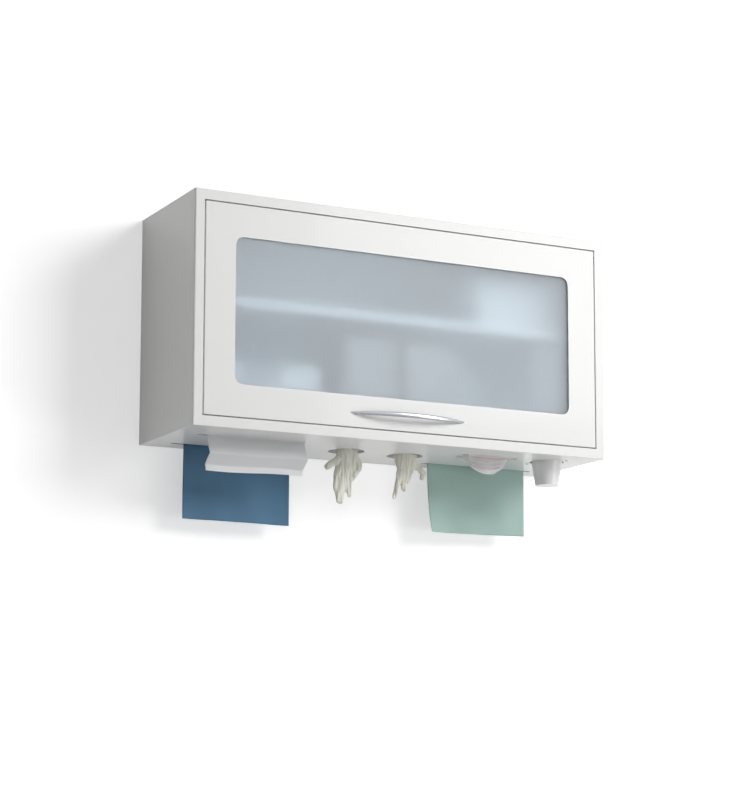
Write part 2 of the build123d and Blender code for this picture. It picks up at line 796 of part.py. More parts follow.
with BuildPart() as door_liner:
    with BuildSketch(facing(door_back_y)):
        RectangleRounded(
            2 * (door_half_width - sheet), 2 * (door_half_height - sheet), door_corner - sheet
        )
    extrude(amount=-sheet)
    with BuildSketch(facing(gasket_back_y)):
        outline(liner_wall)
    extrude(amount=door_back_y - gasket_back_y)
    with BuildSketch(facing(gasket_back_y + sheet)):
        outline(liner_wall - sheet)
    extrude(amount=door_thickness, mode=Mode.SUBTRACT)
    with BuildSketch(facing(gasket_back_y)):
        outline(liner_reveal)
    extrude(amount=door_thickness, mode=Mode.SUBTRACT)
    with BuildSketch(facing(door_back_y)):
        with Locations(*boss_places):
            Circle(screw_radius + screw_clearance)
    extrude(amount=-sheet, mode=Mode.SUBTRACT)
save(door_liner.part, "door_liner")

with BuildPart() as glass_pane:
    with BuildSketch(facing(pane_front_y)):
        outline(pane_lap)
    extrude(amount=pane_thickness)
save(glass_pane.part, "glass_pane")

with BuildPart() as glass_gasket:
    with BuildSketch(facing(pane_front_y - gasket_front)):
        outline(pane_lap + gasket_web)
    extrude(amount=gasket_back_y - pane_front_y + gasket_front)
    with BuildSketch(facing(pane_front_y)):
        outline(pane_lap)
    extrude(amount=pane_thickness, mode=Mode.SUBTRACT)
    with BuildSketch(facing(pane_front_y - gasket_front)):
        outline(gasket_reveal)
    extrude(amount=gasket_back_y - pane_front_y + gasket_front, mode=Mode.SUBTRACT)
save(glass_gasket.part, "glass_gasket")


def forward_screw(x, z, y, length):
    """Return a pan-head screw driven forwards, its head's seat at the given depth."""
    return build_screw(0, 0, 0, length).moved(Location((x, y, z), (90, 0, 0)))


save(
    Compound(children=[forward_screw(x, z, door_back_y, screw_length) for x, z in boss_places]),
    "liner_screws",
)

# Handle: a bow of elliptical section that thins towards its ends, on two short posts
bow_radius = (handle_length**2 / 4 + handle_reach**2) / (2 * handle_reach)
bow_centre_y = front_y - handle_reach + bow_radius
bow_half_angle = asin(handle_length / 2 / bow_radius) * bow_overrun
post_reach = handle_length / 2 - post_inset

with BuildPart() as handle:
    for step in range(handle_sections):
        share = 2 * step / (handle_sections - 1) - 1
        angle = share * bow_half_angle
        swell = sqrt(abs(cos(share * radians(90))))
        centre = (bow_radius * sin(angle), bow_centre_y - bow_radius * cos(angle), handle_z)
        section = Plane(centre, x_dir=(0, 0, 1), z_dir=(cos(angle), sin(angle), 0))
        with BuildSketch(section):
            Ellipse(
                (handle_end_height + (handle_mid_height - handle_end_height) * swell) / 2,
                (handle_end_thickness + (handle_mid_thickness - handle_end_thickness) * swell) / 2,
            )
    loft()
    with BuildSketch(facing(front_y)):
        with Locations((-post_reach, handle_z), (post_reach, handle_z)):
            Circle(post_radius)
    extrude(amount=-post_length)
    split(bisect_by=Plane((0, front_y, 0), x_dir=(1, 0, 0), z_dir=(0, -1, 0)))
    with BuildSketch(facing(front_y)):
        with Locations((-post_reach, handle_z), (post_reach, handle_z)):
            Circle(screw_radius + screw_clearance)
    extrude(amount=-post_bore, mode=Mode.SUBTRACT)
save(handle.part, "handle")

handle_screw_length = sheet + post_bore - screw_bottom_gap
save(
    Compound(
        children=[
            forward_screw(x, handle_z, front_y + sheet, handle_screw_length) for x in (-post_reach, post_reach)
        ]
    ),
    "handle_screws",
)


# Hinges: a stub pin in each end of the door, turning in a flanged bush in the side's lip
def build_hinge_pin(side):
    """Return one stub pin, through the door's end flange and into the side panel."""
    with BuildPart() as pin:
        with BuildSketch(Plane.YZ.offset(side * (door_half_width - pin_inner))):
            with Locations((hinge_y, hinge_z)):
                Circle(pin_radius)
        extrude(amount=side * (pin_inner + door_gap + pin_reach))
        chamfer(pin.edges().sort_by(Axis.X)[-1 if side > 0 else 0], pin_radius / 5)
    return pin.part


def build_hinge_bush(side):
    """Return one flanged bush, with its flange in the gap beside the door."""
    with BuildPart() as bush:
        with BuildSketch(Plane.YZ.offset(side * (inner_x - bush_flange))):
            with Locations((hinge_y, hinge_z)):
                Circle(bush_flange_radius)
        extrude(amount=side * bush_flange)
        with BuildSketch(Plane.YZ.offset(side * (inner_x - bush_flange))):
            with Locations((hinge_y, hinge_z)):
                Circle(pin_radius + bush_clearance + bush_wall)
        extrude(amount=side * bush_length)
        with BuildSketch(Plane.YZ.offset(side * (inner_x - bush_flange))):
            with Locations((hinge_y, hinge_z)):
                Circle(pin_radius + bush_clearance)
        extrude(amount=side * bush_length, mode=Mode.SUBTRACT)
    return bush.part


for name, side in sides:
    save(build_hinge_pin(side), name + "_hinge_pin")
    save(build_hinge_bush(side), name + "_hinge_bush")

# Gas struts: a cylinder on the case's stud and a rod that reaches the door's stud
strut_case = (hinge_y + strut_case_back, hinge_z - strut_case_drop)
strut_door = (hinge_y + strut_door_back, hinge_z - strut_door_drop)
strut_length = hypot(strut_door[0] - strut_case[0], strut_door[1] - strut_case[1])
strut_slope = atan2(strut_door[1] - strut_case[1], strut_door[0] - strut_case[0])
strut_x = inner_x - strut_from_side
nose = strut_length - strut_eye_radius - strut_front_gap
bore_end = nose - strut_guide
piston_start = strut_neck + piston_start_gap

swing = radians(open_angle)
door_open = (
    hinge_y + strut_door_back * cos(swing) - strut_door_drop * sin(swing),
    hinge_z - strut_door_drop * cos(swing) - strut_door_back * sin(swing),
)
open_length = hypot(door_open[0] - strut_case[0], door_open[1] - strut_case[1])
open_slope = atan2(door_open[1] - strut_case[1], door_open[0] - strut_case[0])
strut_stroke = open_length - strut_length
strut_turn = (degrees(open_slope - strut_slope) + 180) % 360 - 180
print("strut length", round(strut_length, 3), "stroke", round(strut_stroke, 3))
print("strut turn about +X", round(strut_turn, 4), "slope at rest", round(degrees(strut_slope), 4))
print("case pivot", strut_case, "door pivot", strut_door, "strut x", strut_x)
print("piston travel left", round(bore_end - piston_start - piston_length - strut_stroke, 2))


def strut_plane(side):
    """Return the plane through the case pivot with Z along the strut, towards the door."""
    along = (0, cos(strut_slope), sin(strut_slope))
    return Plane((side * strut_x, *strut_case), x_dir=(side, 0, 0), z_dir=along)


def build_strut_cylinder(side):
    """Return the cylinder: an eye on the case stud, a closed tube and a guide at its nose."""
    with BuildPart() as cylinder:
        with BuildSketch(strut_plane(side).offset(strut_neck)):
            Circle(strut_radius)
        extrude(amount=nose - strut_neck)
        fillet(cylinder.edges().filter_by(GeomType.CIRCLE), strut_edge)
        with BuildSketch(strut_plane(side)):
            Circle(strut_neck_radius)
        extrude(amount=strut_neck + strut_edge)
        with BuildSketch(Plane.YZ.offset(side * strut_x - strut_eye_width / 2)):
            with Locations(strut_case):
                Circle(strut_eye_radius)
        extrude(amount=strut_eye_width)
        with BuildSketch(Plane.YZ.offset(side * strut_x - strut_eye_width)):
            with Locations(strut_case):
                Circle(strut_stud_radius + bush_clearance)
        extrude(amount=2 * strut_eye_width, mode=Mode.SUBTRACT)
        with BuildSketch(strut_plane(side).offset(piston_start)):
            Circle(strut_bore)
        extrude(amount=bore_end - piston_start, mode=Mode.SUBTRACT)
        with BuildSketch(strut_plane(side).offset(bore_end)):
            Circle(strut_rod_radius + bush_clearance)
        extrude(amount=nose - bore_end, mode=Mode.SUBTRACT)
    return cylinder.part


def build_strut_rod(side):
    """Return the rod: a piston inside the cylinder and a flat eye beside the door's stud."""
    with BuildPart() as rod:
        with BuildSketch(strut_plane(side).offset(piston_start)):
            Circle(strut_bore - bush_clearance)
        extrude(amount=piston_length)
        with BuildSketch(strut_plane(side).offset(piston_start)):
            Circle(strut_rod_radius)
        extrude(amount=strut_length - piston_start)
        with BuildSketch(Plane.YZ.offset(side * strut_x - strut_eye_width / 2)):
            with Locations(strut_door):
                Circle(strut_eye_radius)
        extrude(amount=strut_eye_width)
    return rod.part


def build_strut_stud(side):
    """Return the stud on the case: a base plate on the side liner and a pin through the eye."""
    pin_end = strut_from_side + strut_eye_width / 2 + stud_tip
    with BuildPart() as stud:
        with BuildSketch(Plane.YZ.offset(side * inner_x)):
            with Locations(strut_case):
                RectangleRounded(stud_plate_length, stud_plate_height, stud_plate_corner)
        extrude(amount=-side * base_plate)
        with BuildSketch(Plane.YZ.offset(side * inner_x)):
            with Locations(strut_case):
                Circle(strut_eye_radius)
        extrude(amount=-side * (strut_from_side - strut_eye_width / 2 - open_pivot_gap))
        with BuildSketch(Plane.YZ.offset(side * inner_x)):
            with Locations(strut_case):
                Circle(strut_stud_radius)
        extrude(amount=-side * pin_end)
    return stud.part


def build_door_bracket(side):
    """Return the bracket on the door liner: a base plate, an ear and a stud beside the rod's eye."""
    stud_end = strut_x - strut_eye_width / 2 - open_pivot_gap
    ear_x = stud_end - bracket_stud_length
    plate_ends = (strut_door[1] - bracket_plate_height / 2, strut_door[1] + bracket_plate_height / 2)
    with BuildPart() as bracket:
        block(
            (side * (ear_x - bracket_plate_width), side * ear_x),
            (door_back_y, door_back_y + ear_sheet),
            plate_ends,
        )
        with BuildSketch(Plane.YZ.offset(side * ear_x)):
            with BuildLine():
                Polyline(
                    (door_back_y, plate_ends[0]),
                    (strut_door[0], strut_door[1] - strut_eye_radius),
                    (strut_door[0], strut_door[1] + strut_eye_radius),
                    (door_back_y, plate_ends[1]),
                    close=True,
                )
            make_face()
            with Locations(strut_door):
                Circle(strut_eye_radius)
        extrude(amount=-side * ear_sheet)
        with BuildSketch(Plane.YZ.offset(side * (ear_x - ear_sheet))):
            with Locations(strut_door):
                Circle(strut_stud_radius)
        extrude(amount=side * (stud_end - ear_x + ear_sheet))
    return bracket.part


for name, side in sides:
    save(build_strut_cylinder(side), name + "_strut_cylinder")
    save(build_strut_rod(side), name + "_strut_rod")
    save(build_strut_stud(side), name + "_strut_stud")
    save(build_door_bracket(side), name + "_door_bracket")


# Catches: a magnet housing on the floor's lip and a steel strike plate on the door
def build_catch(side):
    """Return one magnet housing, its face just clear of the strike plate."""
    face_y = door_back_y + strike_sheet + catch_gap
    x = side * catch_from_middle
    with BuildPart() as catch:
        block(
            (x - catch_width / 2, x + catch_width / 2),
            (face_y, floor_lip_y),
            (-opening_z, -opening_z + catch_height),
        )
        fillet(catch.edges().filter_by(Axis.Z), catch_corner)
        fillet(catch.faces().sort_by(Axis.Z)[-1].edges(), catch_edge)
    return catch.part


def build_strike(side):
    """Return one strike plate, flat on the door's liner."""
    x = side * catch_from_middle
    z = -opening_z + catch_height / 2
    with BuildPart() as strike:
        block(
            (x - strike_width / 2, x + strike_width / 2),
            (door_back_y, door_back_y + strike_sheet),
            (z - strike_height / 2, z + strike_height / 2),
        )
        fillet(strike.edges().filter_by(Axis.Y), strike_corner)
    return strike.part


for name, side in sides:
    save(build_catch(side), name + "_magnet_catch")
    save(build_strike(side), name + "_strike_plate")
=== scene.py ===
"""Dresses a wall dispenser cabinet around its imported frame: finishes, supplies, stage and camera.

Lengths are metres. X runs right as seen from the front, Y towards the wall and Z up.
"""

from __future__ import annotations

import json
import logging
import math
from dataclasses import dataclass, field
from enum import Enum

import bmesh
import bpy
from mathutils import Matrix, Vector, noise


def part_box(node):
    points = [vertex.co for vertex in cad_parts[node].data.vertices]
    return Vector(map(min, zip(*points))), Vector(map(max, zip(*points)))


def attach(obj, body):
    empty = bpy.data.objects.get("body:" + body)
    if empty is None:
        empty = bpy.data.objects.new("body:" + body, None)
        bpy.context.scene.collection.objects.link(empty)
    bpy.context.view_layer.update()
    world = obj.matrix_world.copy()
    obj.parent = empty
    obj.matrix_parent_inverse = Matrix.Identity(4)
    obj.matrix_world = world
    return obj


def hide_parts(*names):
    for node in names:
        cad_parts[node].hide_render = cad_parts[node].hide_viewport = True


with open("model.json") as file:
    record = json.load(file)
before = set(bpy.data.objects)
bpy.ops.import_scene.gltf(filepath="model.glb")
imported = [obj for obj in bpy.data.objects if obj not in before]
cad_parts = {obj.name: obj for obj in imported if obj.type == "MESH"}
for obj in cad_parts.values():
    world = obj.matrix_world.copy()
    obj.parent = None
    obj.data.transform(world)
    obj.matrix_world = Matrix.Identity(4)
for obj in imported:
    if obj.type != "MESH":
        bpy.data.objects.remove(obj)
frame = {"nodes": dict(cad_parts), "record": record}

LOG = logging.getLogger("cabinet")
MM = 0.001

Point = tuple[float, float, float]
Colour = tuple[float, float, float]
Faces = list[tuple[int, ...]]
Socket = bpy.types.NodeSocket


class Board:
    """A node tree while it is being wired, for a shader or for geometry."""

    def __init__(self, tree: bpy.types.NodeTree) -> None:
        """Take over a tree and empty it."""
        self.tree = tree
        tree.nodes.clear()

    @classmethod
    def group(
        cls, kind: str, name: str, inputs: dict[str, str], outputs: dict[str, str]
    ) -> tuple[Board, bpy.types.Node]:
        """Start a node group with named sockets.

        Args:
            kind: Shader or Geometry.
            name: the group's name.
            inputs: socket types of its inputs by name.
            outputs: socket types of its outputs by name.

        Returns:
            Its board and its input node.
        """
        tree = bpy.data.node_groups.new(name, kind + "NodeTree")
        for side, sockets in (("INPUT", inputs), ("OUTPUT", outputs)):
            for label, socket in sockets.items():
                tree.interface.new_socket(label, in_out=side, socket_type="NodeSocket" + socket)
        board = cls(tree)
        return board, board.node("NodeGroupInput")

    def node(self, kind: str, inputs: dict | None = None, **settings: object) -> bpy.types.Node:
        """Add one node.

        Args:
            kind: Blender's name for the node type.
            inputs: values or sockets for its inputs, by name or number.
            settings: the node's own properties.

        Returns:
            The new node.
        """
        made = self.tree.nodes.new(kind)
        for key, value in settings.items():
            setattr(made, key, value)
        for key, value in (inputs or {}).items():
            if isinstance(value, Socket):
                self.tree.links.new(value, made.inputs[key])
            else:
                made.inputs[key].default_value = value
        return made

    def math(self, operation: str, first: object, second: object = 0.0) -> Socket:
        """Add a Math node and return its output."""
        return self.node("ShaderNodeMath", {0: first, 1: second}, operation=operation).outputs[0]

    def seen(self) -> Socket:
        """Return 1 for the rays that show a background: from the camera, off gloss and through glass."""
        path = self.node("ShaderNodeLightPath")
        rays = self.math("ADD", path.outputs["Is Camera Ray"], path.outputs["Is Glossy Ray"])
        return self.math("ADD", rays, path.outputs["Is Transmission Ray"])

    def copies(self, source: bpy.types.Object, material: bpy.types.Material, **places: Socket) -> None:
        """End a geometry tree with plain, dressed copies of an object.

        Args:
            source: the object to copy.
            material: what the copies are dressed in.
            places: sockets for the instancing node, such as Points and Rotation.
        """
        shape = self.node("GeometryNodeObjectInfo", {"Object": source}).outputs["Geometry"]
        placed = self.node("GeometryNodeInstanceOnPoints", {"Instance": shape, **places})
        real = self.node("GeometryNodeRealizeInstances", {"Geometry": placed.outputs[0]})
        inputs = {"Geometry": real.outputs[0], "Material": material}
        dressed = self.node("GeometryNodeSetMaterial", inputs)
        self.node("NodeGroupOutput", {0: dressed.outputs[0]})


@dataclass(frozen=True)
class GrainSize:
    """One grain's pattern.

    Args:
        scale: cells in a metre.
        stretch: how much each axis is stretched before the pattern is read.
        height: depth of the relief in metres.
        tone: how far the colour darkens, as a share.
        rough: how far the roughness moves.
    """

    scale: float
    stretch: Point = (1.0, 1.0, 1.0)
    height: float = 0.00003
    tone: float = 0.04
    rough: float = 0.05


class Grain(Enum):
    """How a surface looks close up."""

    SPRAYED = GrainSize(260.0, height=0.000018, tone=0.012, rough=0.04)
    BRUSHED = GrainSize(2400.0, stretch=(0.01, 1.0, 1.0), height=0.000001, tone=0.03)
    MOULDED = GrainSize(1100.0, height=0.00002, tone=0.05, rough=0.08)
    CREPE = GrainSize(420.0, stretch=(1.0, 1.0, 0.35), height=0.00010, tone=0.10, rough=0.03)
    EMBOSSED = GrainSize(700.0, height=0.00004, rough=0.03)
    CREASED = GrainSize(160.0, stretch=(1.0, 1.0, 0.3), height=0.00020, tone=0.10, rough=0.10)
    PRESSED = GrainSize(600.0, stretch=(1.0, 0.4, 0.4), height=0.00002, tone=0.05, rough=0.06)


GRAIN_SPAN = (0.3, 0.7)
FINE_DETAIL = 3.0
MOTTLE_SCALE = 9.0
MOTTLE_DETAIL = 2.0
DOT_PITCH = 5.0 * MM
STRIPES = 4
STRIPE_EDGE = (0.90, 0.97)


@dataclass(frozen=True)
class Finish:
    """One finish of the cabinet and how light meets it.

    Args:
        slot: the record's material slot, or a name of its own for a darker copy of one that paints shade
            on it.
        colour: linear base colour.
        sockets: other values of the shader's own sockets.
        stripe: colour of narrow woven stripes, if it has them.
    """

    slot: str
    colour: Colour
    rough: float
    grain: Grain
    sockets: tuple[tuple[str, float], ...] = ()
    stripe: Colour | None = None


METAL = (("Metallic", 1.0),)
PAPER = (("Sheen Weight", 0.15),)
CARD = (("Coat Weight", 0.2),)
CLOTH = (("Sheen Weight", 0.3),)
SPRAY = (("Specular IOR Level", 0.26), ("Coat Weight", 0.06))
RUBBER_FILM = (("Subsurface Weight", 0.12), ("Subsurface Scale", 0.004), ("Coat Weight", 0.1))
FINISHES = (
    Finish("white_paint", (0.86, 0.86, 0.85), 0.30, Grain.SPRAYED, SPRAY),
    Finish("satin_metal", (0.52, 0.53, 0.57), 0.24, Grain.BRUSHED, METAL),
    Finish("steel", (0.60, 0.61, 0.63), 0.34, Grain.MOULDED, METAL),
    Finish("strut_black", (0.022, 0.022, 0.025), 0.35, Grain.SPRAYED, (("Coat Weight", 0.3),)),
    Finish("rod_chrome", (0.82, 0.83, 0.85), 0.08, Grain.MOULDED, METAL),
    Finish("grey_plastic", (0.42, 0.43, 0.44), 0.50, Grain.MOULDED),
    Finish("gasket_rubber", (0.075, 0.078, 0.082), 0.62, Grain.MOULDED),
    Finish("tube_plastic", (0.80, 0.81, 0.82), 0.22, Grain.SPRAYED, (("Transmission Weight", 0.25),)),
    Finish("cup_plastic", (0.85, 0.85, 0.845), 0.30, Grain.MOULDED, (("Coat Weight", 0.15),)),
    Finish("white_paper", (0.83, 0.84, 0.85), 0.85, Grain.EMBOSSED, PAPER),
    Finish("blue_paper", (0.100, 0.225, 0.360), 0.82, Grain.CREPE, PAPER),
    Finish("green_paper", (0.43, 0.60, 0.55), 0.82, Grain.CREPE, PAPER),
    Finish("glove_film", (0.87, 0.86, 0.76), 0.36, Grain.CREASED, RUBBER_FILM),
    Finish("mask_cloth", (0.86, 0.86, 0.87), 0.75, Grain.CREPE, CLOTH, (0.78, 0.56, 0.57)),
    # white card darkened for the glove boxes: painted shade of the dim inside of the cabinet
    Finish("grey_card", (0.36, 0.345, 0.32), 0.55, Grain.PRESSED, CARD),
    Finish("white_card", (0.88, 0.88, 0.87), 0.55, Grain.PRESSED, CARD),
)


@dataclass(frozen=True)
class EtchedGlass:
    """The door's frosted pane.

    Args:
        colour: linear base colour.
        rough: least and most roughness of its etched face.
        through: share of the light that goes through.
        bend: index of refraction.
        shade: share of each lamp's colour that reaches the inside.
    """

    slot: str = "frosted_glass"
    colour: Colour = (0.735, 0.795, 0.84)
    rough: tuple[float, float] = (0.52, 0.60)
    through: float = 0.84
    bend: float = 1.5
    shade: Colour = (0.27, 0.285, 0.30)
    grain: GrainSize = GrainSize(1500.0)


def start_material(name: str) -> tuple[bpy.types.Material, Board]:
    """Return a new material and the board that it is wired on."""
    made = bpy.data.materials.new(name)
    made.use_nodes = True
    return made, Board(made.node_tree)


class PaintShop:
    """Makes the materials, each with its grain from one shared node group."""

    def __init__(self) -> None:
        """Build the shared groups and the materials."""
        self.grain = self._grain_group()
        self.emboss = self._emboss_group()
        self.materials = {finish.slot: self._material(finish) for finish in FINISHES}
        pane = EtchedGlass()
        self.materials[pane.slot] = self._frosted_glass(pane)

    @staticmethod
    def _grain_group() -> bpy.types.NodeTree:
        """Build the grain that every finish shares: a fine noise over a broad, faint mottle."""
        board, given = Board.group(
            "Shader",
            "surface grain",
            {"Vector": "Vector", "Stretch": "Vector", "Scale": "Float", "Tone Depth": "Float"},
            {"Height": "Float", "Tone": "Float"},
        )
        place = given.outputs["Vector"]
        stretched = board.node(
            "ShaderNodeVectorMath", {0: place, 1: given.outputs["Stretch"]}, operation="MULTIPLY"
        )
        fine = board.node(
            "ShaderNodeTexNoise",
            {"Vector": stretched.outputs[0], "Scale": given.outputs["Scale"], "Detail": FINE_DETAIL},
        )
        broad = board.node(
            "ShaderNodeTexNoise", {"Vector": place, "Scale": MOTTLE_SCALE, "Detail": MOTTLE_DETAIL}
        )
        mixed = board.math("ADD", fine.outputs["Fac"], broad.outputs["Fac"])
        depth = board.math("MULTIPLY", board.math("SUBTRACT", 2.0, mixed), given.outputs["Tone Depth"])
        tone = board.math("SUBTRACT", 1.0, depth)
        board.node("NodeGroupOutput", {"Height": fine.outputs["Fac"], "Tone": tone})
        return board.tree

    @staticmethod
    def _emboss_group() -> bpy.types.NodeTree:
        """Build the lattice of small pressed dots on towel paper, read from the piece's own UV map."""
        board, given = Board.group(
            "Shader", "pressed dots", {"Vector": "Vector", "Pitch": "Float"}, {"Height": "Float"}
        )
        turns = board.math("DIVIDE", 2 * math.pi, given.outputs["Pitch"])
        scaled = board.node(
            "ShaderNodeVectorMath", {0: given.outputs["Vector"], "Scale": turns}, operation="SCALE"
        )
        parts = board.node("ShaderNodeSeparateXYZ", {0: scaled.outputs[0]})
        waves = [board.math("SINE", parts.outputs[axis]) for axis in ("X", "Y")]
        board.node("NodeGroupOutput", {"Height": board.math("MULTIPLY", *waves)})
        return board.tree

    def _material(self, finish: Finish) -> bpy.types.Material:
        """Build one opaque material.

        Args:
            finish: the finish to build.

        Returns:
            The material, named for its slot.
        """
        size = finish.grain.value
        made, board = start_material(finish.slot)
        made.diffuse_color = (*finish.colour, 1.0)
        where = board.node("ShaderNodeTexCoord").outputs
        grain = self._grained(board, where["Object"], size)
        colour = board.node(
            "ShaderNodeMix",
            {0: 1.0, 6: (*finish.colour, 1.0), 7: grain["Tone"]},
            data_type="RGBA",
            blend_type="MULTIPLY",
        ).outputs[2]
        if finish.stripe:
            colour = self._striped(board, colour, where["UV"], finish.stripe)
        half = size.rough / 2
        rough = self._rough(board, grain["Height"], finish.rough - half, finish.rough + half)
        height = grain["Height"]
        if finish.grain is Grain.EMBOSSED:
            dots = board.node(
                "ShaderNodeGroup", {"Vector": where["UV"], "Pitch": DOT_PITCH}, node_tree=self.emboss
            )
            height = board.math("ADD", height, dots.outputs["Height"])
        bump = board.node("ShaderNodeBump", {"Strength": 1.0, "Distance": size.height, "Height": height})
        shader = board.node(
            "ShaderNodeBsdfPrincipled",
            {"Base Color": colour, "Roughness": rough, "Normal": bump.outputs[0]} | dict(finish.sockets),
        )
        board.node("ShaderNodeOutputMaterial", {"Surface": shader.outputs[0]})
        return made

    def _grained(self, board: Board, vector: Socket, size: GrainSize) -> bpy.types.NodeOutputs:
        """Place the shared grain with one finish's values.

        Args:
            board: the material's board.
            vector: where the pattern is read.
            size: the grain's values.

        Returns:
            The outputs of the group node.
        """
        values = {"Stretch": size.stretch, "Scale": size.scale, "Tone Depth": size.tone}
        return board.node("ShaderNodeGroup", {"Vector": vector, **values}, node_tree=self.grain).outputs

    @staticmethod
    def _rough(board: Board, height: Socket, least: float, most: float) -> Socket:
        """Return a roughness that follows the grain from its hollows to its peaks.

        Args:
            board: the material's board.
            height: the grain's height.
            least: roughness in the hollows.
            most: roughness on the peaks.

        Returns:
            The socket of the roughness.
        """
        low, high = GRAIN_SPAN
        values = {"Value": height, "From Min": low, "From Max": high, "To Min": least, "To Max": most}
        return board.node("ShaderNodeMapRange", values).outputs[0]

    @staticmethod
    def _striped(board: Board, ground: Socket, vector: Socket, stripe: Colour) -> Socket:
        """Lay narrow stripes along the piece's pleats.

        Args:
            board: the material's board.
            ground: the cloth's own colour.
            vector: the piece's UV map.
            stripe: the stripes' colour.

        Returns:
            The socket of the striped colour.
        """
        across = board.node("ShaderNodeSeparateXYZ", {0: vector}).outputs["Y"]
        wave = board.math("SINE", board.math("MULTIPLY", across, STRIPES * 2 * math.pi))
        low, high = STRIPE_EDGE
        edge = board.node("ShaderNodeMapRange", {"Value": wave, "From Min": low, "From Max": high})
        inputs = {0: edge.outputs[0], 6: ground, 7: (*stripe, 1.0)}
        return board.node("ShaderNodeMix", inputs, data_type="RGBA").outputs[2]

    def _frosted_glass(self, pane: EtchedGlass) -> bpy.types.Material:
        """Build the etched pane: it scatters what lies behind it and lets lamps light the inside.

        Args:
            pane: the pane's values.

        Returns:
            The material.
        """
        made, board = start_material(pane.slot)
        grain = self._grained(board, board.node("ShaderNodeTexCoord").outputs["Object"], pane.grain)
        shader = board.node(
            "ShaderNodeBsdfPrincipled",
            {
                "Base Color": (*pane.colour, 1.0),
                "Roughness": self._rough(board, grain["Height"], *pane.rough),
                "Transmission Weight": pane.through,
                "IOR": pane.bend,
            },
        )
        clear = board.node("ShaderNodeBsdfTransparent", {"Color": (*pane.shade, 1.0)})
        shadow = board.node("ShaderNodeLightPath").outputs["Is Shadow Ray"]
        mixed = board.node("ShaderNodeMixShader", {0: shadow, 1: shader.outputs[0], 2: clear.outputs[0]})
        board.node("ShaderNodeOutputMaterial", {"Surface": mixed.outputs[0]})
        return made


def link_object(name: str, data: bpy.types.ID) -> bpy.types.Object:
    """Put a mesh, lamp or camera into the scene as one object at the origin."""
    piece = bpy.data.objects.new(name, data)
    bpy.context.scene.collection.objects.link(piece)
    return piece


def mesh_piece(
    name: str, points: list[Point], faces: Faces, uvs: list[tuple[float, float]] | None = None
) -> bpy.types.Object:
    """Make a smooth mesh object.

    Args:
        name: the piece's name.
        points: its vertices.
        faces: its faces, as vertex numbers.
        uvs: one flat position for each vertex.

    Returns:
        The object.
    """
    mesh = bpy.data.meshes.new(name)
    mesh.from_pydata(points, [], faces)
    if uvs:
        layer = mesh.uv_layers.new(name="flat")
        for loop in mesh.loops:
            layer.data[loop.index].uv = uvs[loop.vertex_index]
    mesh.shade_smooth()
    mesh.validate()
    return link_object(name, mesh)


def grid_faces(columns: int, rows: int) -> Faces:
    """Return the faces of a grid whose vertices run along the columns first."""
    wide = columns + 1
    starts = [row * wide + column for row in range(rows) for column in range(columns)]
    return [(start, start + 1, start + wide + 1, start + wide) for start in starts]


def tube_mesh(sections: list[list[Vector]]) -> tuple[list[Vector], Faces]:
    """Join closed rings of points into a capped tube.

    Args:
        sections: rings with equal numbers of points.

    Returns:
        Its points and its faces.
    """
    count = len(sections[0])
    points = [point for ring in sections for point in ring]
    faces: Faces = [tuple(reversed(range(count)))]
    for start in range(0, len(points) - count, count):
        for step in range(count):
            after = (step + 1) % count
            faces.append((start + step, start + after, start + count + after, start + count + step))
    faces.append(tuple(range(len(points) - count, len(points))))
    return points, faces


def closed_mesh(name: str, sections: list[list[Vector]]) -> bpy.types.Mesh:
    """Make a smooth capped tube whose faces point outwards.

    Args:
        name: the mesh's name.
        sections: rings with equal numbers of points.

    Returns:
        The mesh.
    """
    points, faces = tube_mesh(sections)
    mesh = bpy.data.meshes.new(name)
    mesh.from_pydata(points, [], faces)
    mould = bmesh.new()
    mould.from_mesh(mesh)
    bmesh.ops.recalc_face_normals(mould, faces=mould.faces)
    mould.to_mesh(mesh)
    mould.free()
    mesh.shade_smooth()
    return mesh


def bake(piece: bpy.types.Object) -> None:
    """Turn a piece and its modifiers into one plain mesh."""
    bpy.context.view_layer.update()
    seen = piece.evaluated_get(bpy.context.evaluated_depsgraph_get())
    mesh = bpy.data.meshes.new_from_object(seen)
    piece.modifiers.clear()
    piece.data = mesh


def thicken(piece: bpy.types.Object, thickness: float, offset: float) -> None:
    """Give a sheet its thickness.

    Args:
        piece: the sheet.
        thickness: its thickness.
        offset: 0 to grow to both sides, -1 to grow to the back only.
    """
    solid = piece.modifiers.new("thickness", "SOLIDIFY")
    solid.thickness = thickness
    solid.offset = offset
    bake(piece)


def run_nodes(piece: bpy.types.Object, tree: bpy.types.NodeTree, values: dict[str, object]) -> None:
    """Run a geometry tree on a piece and keep its result as a plain mesh.

    Args:
        piece: the object to run it on.
        tree: the tree.
        values: its inputs by name.
    """
    nodes = piece.modifiers.new("nodes", "NODES")
    nodes.node_group = tree
    for item in tree.interface.items_tree:
        if item.name in values:
            nodes[item.identifier] = values[item.name]
    bake(piece)


@dataclass(frozen=True)
class Wave:
    """A slight wave in a sheet.

    Args:
        height: how far it swings to each side.
        turn: radians that it goes through from one edge to the other.
    """

    height: float
    turn: float

    def at(self, share: float, phase: float) -> float:
        """Return its swing at a share of the way, moved on by a phase in radians."""
        return self.height * math.sin(self.turn * share + phase)


@dataclass(frozen=True)
class Crumple:
    """Smooth, uneven folds in a cloth.

    Args:
        along: folds along the cloth.
        across: folds across it.
        seed: which folds they are.
    """

    along: float
    across: float
    seed: float

    def at(self, share: float, side: float) -> float:
        """Return how far the cloth stands out at one place, from -1 to 1."""
        return noise.noise(Vector((share * self.along, side * self.across, self.seed)))


